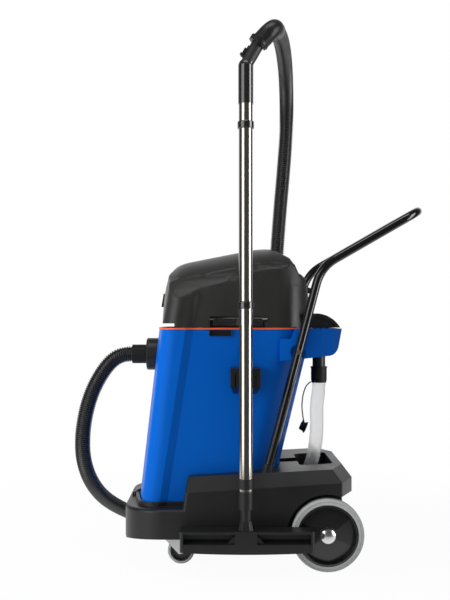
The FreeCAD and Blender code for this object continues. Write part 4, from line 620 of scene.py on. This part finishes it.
@once
def sleeve_black():
    """Gloss on the wand's sleeve, matt on the bend above it."""
    material = glossy("sleeve_black_gloss", colours().black)
    tree = material.node_tree
    shader = tree.nodes["Principled BSDF"]
    coordinates = tree.nodes.new("ShaderNodeTexCoord")
    parts = tree.nodes.new("ShaderNodeSeparateXYZ")
    tree.links.new(coordinates.outputs["Object"], parts.inputs["Vector"])
    height = parts.outputs["Z"]
    tree.links.new(ramped(tree, height, SLEEVE_EDGE, (0.9, 0.0)), shader.inputs["Coat Weight"])
    tree.links.new(ramped(tree, height, SLEEVE_EDGE, (0.2, 0.5)), shader.inputs["Roughness"])
    return material


@once
def rubber_black():
    return moulded("black_rubber_dull", colours().hose, 0.55, 1200.0, 0.00006)


@once
def hose_black():
    return moulded("suction_hose_black", colours().hose, 0.32, 500.0, 0.00001, specular=0.75,
                   edge=0.0)


@once
def tyre_grey():
    return moulded("tyre_grey_rubber", colours().tyre, 0.62, 1400.0, 0.0001, vary=0.06)


@once
def red_seal():
    return moulded("rim_seal_red", colours().seal, 0.5, 900.0, 0.00004)


@once
def hose_clear():
    material = moulded("drain_hose_milky", colours().clear, 0.30, 300.0, 0.00002, vary=0.02,
                       edge=0.0)
    shader = material.node_tree.nodes["Principled BSDF"]
    shader.inputs["Transmission Weight"].default_value = 0.8
    shader.inputs["IOR"].default_value = 1.12
    shader.inputs["Subsurface Weight"].default_value = 0.8
    shader.inputs["Subsurface Radius"].default_value = (0.015, 0.015, 0.015)
    return material


def metal(name, base, roughness, stretch, scale, depth, edge=0.0):
    """Bare or plated metal with fine lines drawn along one direction."""
    material, tree, shader = nodes_of(name)
    shader.inputs["Metallic"].default_value = 1.0
    lines = object_noise(tree, scale, 2.0, stretch)
    gloss = [roughness + play for play in METAL_ROUGHNESS_PLAY]
    tree.links.new(tinted(tree, lines, base, *METAL_TINTS), shader.inputs["Base Color"])
    tree.links.new(ranged(tree, lines, NOISE_RANGE, gloss), shader.inputs["Roughness"])
    tree.links.new(bumped(tree, lines, depth, edge), shader.inputs["Normal"])
    return material


@once
def drawn_steel():
    return metal("drawn_steel_tube", colours().steel, 0.13, (1.0, 1.0, 0.02), 1500.0, 0.0000003)


@once
def bright_bar():
    return metal("bright_steel_bar", colours().steel, 0.28, (1.0, 0.05, 1.0), 900.0, 0.00001)


@once
def chrome():
    return metal("chrome_cap_polish", (0.85, 0.85, 0.85), 0.20, (1.0, 1.0, 1.0), 40.0, 0.00001)


@once
def zinc_plate():
    return metal("zinc_plated_sheet", colours().zinc, 0.34, (1.0, 1.0, 1.0), 120.0, 0.00002,
                 edge=0.0008)


@once
def coated_steel():
    return glossy("black_powder_coat", colours().coat, coat_roughness=0.04, edge=0.0,
                  specular=0.3)


@once
def filter_paper():
    return moulded("filter_paper_cream", (0.72, 0.69, 0.60), 0.8, 800.0, 0.0001)


@once
def copper_winding():
    return metal("copper_winding", (0.62, 0.33, 0.18), 0.35, (1.0, 1.0, 0.1), 600.0, 0.00003)


FINISH_OF_SLOT = {
    "black_plastic": black_plastic, "blue_plastic": blue_plastic, "steel": drawn_steel,
    "black_steel": coated_steel, "chrome": chrome, "zinc": zinc_plate,
    "axle_steel": bright_bar, "grey_tyre": tyre_grey, "black_rubber": rubber_black,
    "hose_black": hose_black, "hose_clear": hose_clear, "red_seal": red_seal,
    "filter_paper": filter_paper, "copper": copper_winding,
}


# The head's pieces get the lighter copy of the black plastic, whose extra lightness is painted
# light.
FINISH_OF_NODE = {"head_cover": head_black_painted_lighter, "head_base": head_black_painted_lighter,
                  "bend_tube": sleeve_black, "latch_near": grip_black, "latch_far": grip_black,
                  "wand_ring_upper": grip_black, "wand_ring_lower": grip_black,
                  "wheel_hub_near": hub_black, "wheel_hub_far": hub_black}


class VACUUM_OT_finishes(bpy.types.Operator):
    """Give every rigid piece its finish"""

    bl_idname = "vacuum.finishes"
    bl_label = "Finishes"

    def execute(self, context):
        for part in frame["record"]["subparts"]:
            piece = frame["nodes"][part["node"]]
            maker = FINISH_OF_NODE.get(part["node"], FINISH_OF_SLOT[part["material_slot"]])
            for slot in piece.material_slots:
                slot.material = maker()
        return {"FINISHED"}


# Camera and studio

class VACUUM_OT_camera(bpy.types.Operator):
    """Place the camera where the photograph was taken from"""

    bl_idname = "vacuum.camera"
    bl_label = "Camera"

    def execute(self, context):
        data = bpy.data.cameras.new("photo_camera")
        data.lens = data.sensor_width * PHOTO_FOCAL_LENGTH / PHOTO_LONG_SIDE
        data.shift_x = PHOTO_SHIFT[0] / PHOTO_LONG_SIDE
        data.shift_y = PHOTO_SHIFT[1] / PHOTO_LONG_SIDE
        data.clip_end = CAMERA_FAR_END
        camera = new_object("photo_camera", data)
        camera.location = CAMERA_PLACE
        camera.rotation_euler = (math.radians(90), 0.0, 0.0)
        context.scene.camera = camera
        return {"FINISHED"}


def area_light(name, place, width, height, watts):
    """A lamp that shines on the middle of the object."""
    data = bpy.data.lights.new(name, "AREA")
    data.shape = "RECTANGLE"
    data.size = width
    data.size_y = height
    data.energy = watts
    lamp = new_object(name, data)
    lamp.location = place
    aim = Vector(LAMP_AIM) - Vector(place)
    lamp.rotation_euler = aim.to_track_quat("-Z", "Y").to_euler()
    return lamp


def ray_of(tree, *kinds):
    """One where a ray is any of these kinds, and nought elsewhere."""
    path = tree.nodes.new("ShaderNodeLightPath")
    result = path.outputs[kinds[0]]
    for kind in kinds[1:]:
        either = tree.nodes.new("ShaderNodeMath")
        either.operation = "MAXIMUM"
        tree.links.new(result, either.inputs[0])
        tree.links.new(path.outputs[kind], either.inputs[1])
        result = either.outputs["Value"]
    return result


def blended(tree, factor, low, high):
    """Low where the factor is nought and high where it is one."""
    mix = tree.nodes.new("ShaderNodeMix")
    for socket, value in ((mix.inputs["Factor"], factor), (mix.inputs["A"], low),
                          (mix.inputs["B"], high)):
        if isinstance(value, float):
            socket.default_value = value
        else:
            tree.links.new(value, socket)
    return mix.outputs["Result"]


def floor_material():
    """White floor that fades to pure white away from the object and keeps its shadow."""
    material, tree, shader = nodes_of("studio_floor_white")
    shader.inputs["Base Color"].default_value = FLOOR_GREY
    shader.inputs["Roughness"].default_value = 0.7
    shader.inputs["Specular IOR Level"].default_value = 0.0
    coordinates = tree.nodes.new("ShaderNodeTexCoord")
    distance = tree.nodes.new("ShaderNodeVectorMath")
    distance.operation = "LENGTH"
    tree.links.new(coordinates.outputs["Object"], distance.inputs[0])
    far = ramped(tree, distance.outputs["Value"], FLOOR_FADE, (studio().floor_white, 1.0))
    parts = tree.nodes.new("ShaderNodeSeparateXYZ")
    tree.links.new(coordinates.outputs["Object"], parts.inputs["Vector"])
    mirrored = ramped(tree, parts.outputs["Y"], FLOOR_MIRROR,
                      (studio().front_level, studio().back_level))
    white = shown_as_white(tree, shader.outputs["BSDF"], far, 1.0,
                           ray_of(tree, "Is Camera Ray", "Is Transmission Ray"))
    both = shown_as_white(tree, white, 1.0, mirrored, ray_of(tree, "Is Glossy Ray"))
    tree.links.new(both, tree.nodes["Material Output"].inputs["Surface"])
    return material


def shown_as_white(tree, surface, share, strength, rays):
    """Replace a share of a surface by plain white of some strength for some rays."""
    glow = tree.nodes.new("ShaderNodeEmission")
    glow.inputs["Color"].default_value = WHITE
    if isinstance(strength, float):
        glow.inputs["Strength"].default_value = strength
    else:
        tree.links.new(strength, glow.inputs["Strength"])
    mix = tree.nodes.new("ShaderNodeMixShader")
    tree.links.new(blended(tree, rays, 0.0, share), mix.inputs["Fac"])
    tree.links.new(surface, mix.inputs[1])
    tree.links.new(glow.outputs["Emission"], mix.inputs[2])
    return mix.outputs["Shader"]


def studio_world():
    """White behind the object, for the camera and in shiny pieces, and soft light all round."""
    world = bpy.data.worlds.new("studio_world")
    world.use_nodes = True
    tree = world.node_tree
    background = tree.nodes["Background"]
    background.inputs["Color"].default_value = WHITE
    coordinates = tree.nodes.new("ShaderNodeTexCoord")
    parts = tree.nodes.new("ShaderNodeSeparateXYZ")
    tree.links.new(coordinates.outputs["Generated"], parts.inputs["Vector"])
    shiny = ramped(tree, parts.outputs["Y"], WORLD_MIRROR,
                   (studio().front_level, studio().back_level))
    light = blended(tree, ray_of(tree, "Is Glossy Ray"), studio().soft_level, shiny)
    seen = ray_of(tree, "Is Camera Ray", "Is Transmission Ray")
    tree.links.new(blended(tree, seen, light, 1.0), background.inputs["Strength"])
    return world


class VACUUM_OT_stage(bpy.types.Operator):
    """Build the pale floor, the white surroundings and the soft lamps"""

    bl_idname = "vacuum.stage"
    bl_label = "Stage"

    def execute(self, context):
        deselect()
        bpy.ops.mesh.primitive_circle_add(vertices=FLOOR_SIDES, radius=FLOOR_RADIUS,
                                          fill_type="NGON", location=(0.0, 0.0, -FLOOR_DROP))
        floor = context.object
        floor.name = "studio_floor"
        floor.data.materials.append(floor_material())
        context.scene.world = studio_world()
        for name, place, width, height, power, unseen_by in LAMPS:
            lamp = area_light(name, place, width, height, getattr(studio(), power))
            if unseen_by:
                setattr(lamp, unseen_by, False)
        return {"FINISHED"}


class VACUUM_PT_panel(bpy.types.Panel):
    """The pieces and sizes of the vacuum cleaner"""

    bl_idname = "VACUUM_PT_panel"
    bl_label = "Vacuum cleaner"
    bl_space_type = "VIEW_3D"
    bl_region_type = "UI"
    bl_category = "Vacuum"

    def draw(self, context):
        column = self.layout.column()
        for operator in OPERATORS:
            column.operator(operator.bl_idname)
        for group in (hose_sizes(), colours(), studio()):
            for name in group.bl_rna.properties.keys():
                if name not in ("rna_type", "name"):
                    column.prop(group, name)


GROUPS = {"vacuum_hoses": VACUUM_PG_hoses, "vacuum_colours": VACUUM_PG_colours,
          "vacuum_studio": VACUUM_PG_studio}
OPERATORS = [VACUUM_OT_camera, VACUUM_OT_hoses, VACUUM_OT_head, VACUUM_OT_details,
             VACUUM_OT_finishes, VACUUM_OT_stage]


def register():
    for name, group in GROUPS.items():
        bpy.utils.register_class(group)
        setattr(bpy.types.Scene, name, PointerProperty(type=group))
    for operator in OPERATORS + [VACUUM_PT_panel]:
        bpy.utils.register_class(operator)


def unregister():
    for operator in reversed(OPERATORS + [VACUUM_PT_panel]):
        bpy.utils.unregister_class(operator)
    for name, group in reversed(GROUPS.items()):
        delattr(bpy.types.Scene, name)
        bpy.utils.unregister_class(group)


def main():
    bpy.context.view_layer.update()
    register()
    for operator in OPERATORS:
        area, name = operator.bl_idname.split(".")
        getattr(getattr(bpy.ops, area), name)()
    bpy.context.scene.view_settings.view_transform = "Standard"


if __name__ == "__main__":
    main()
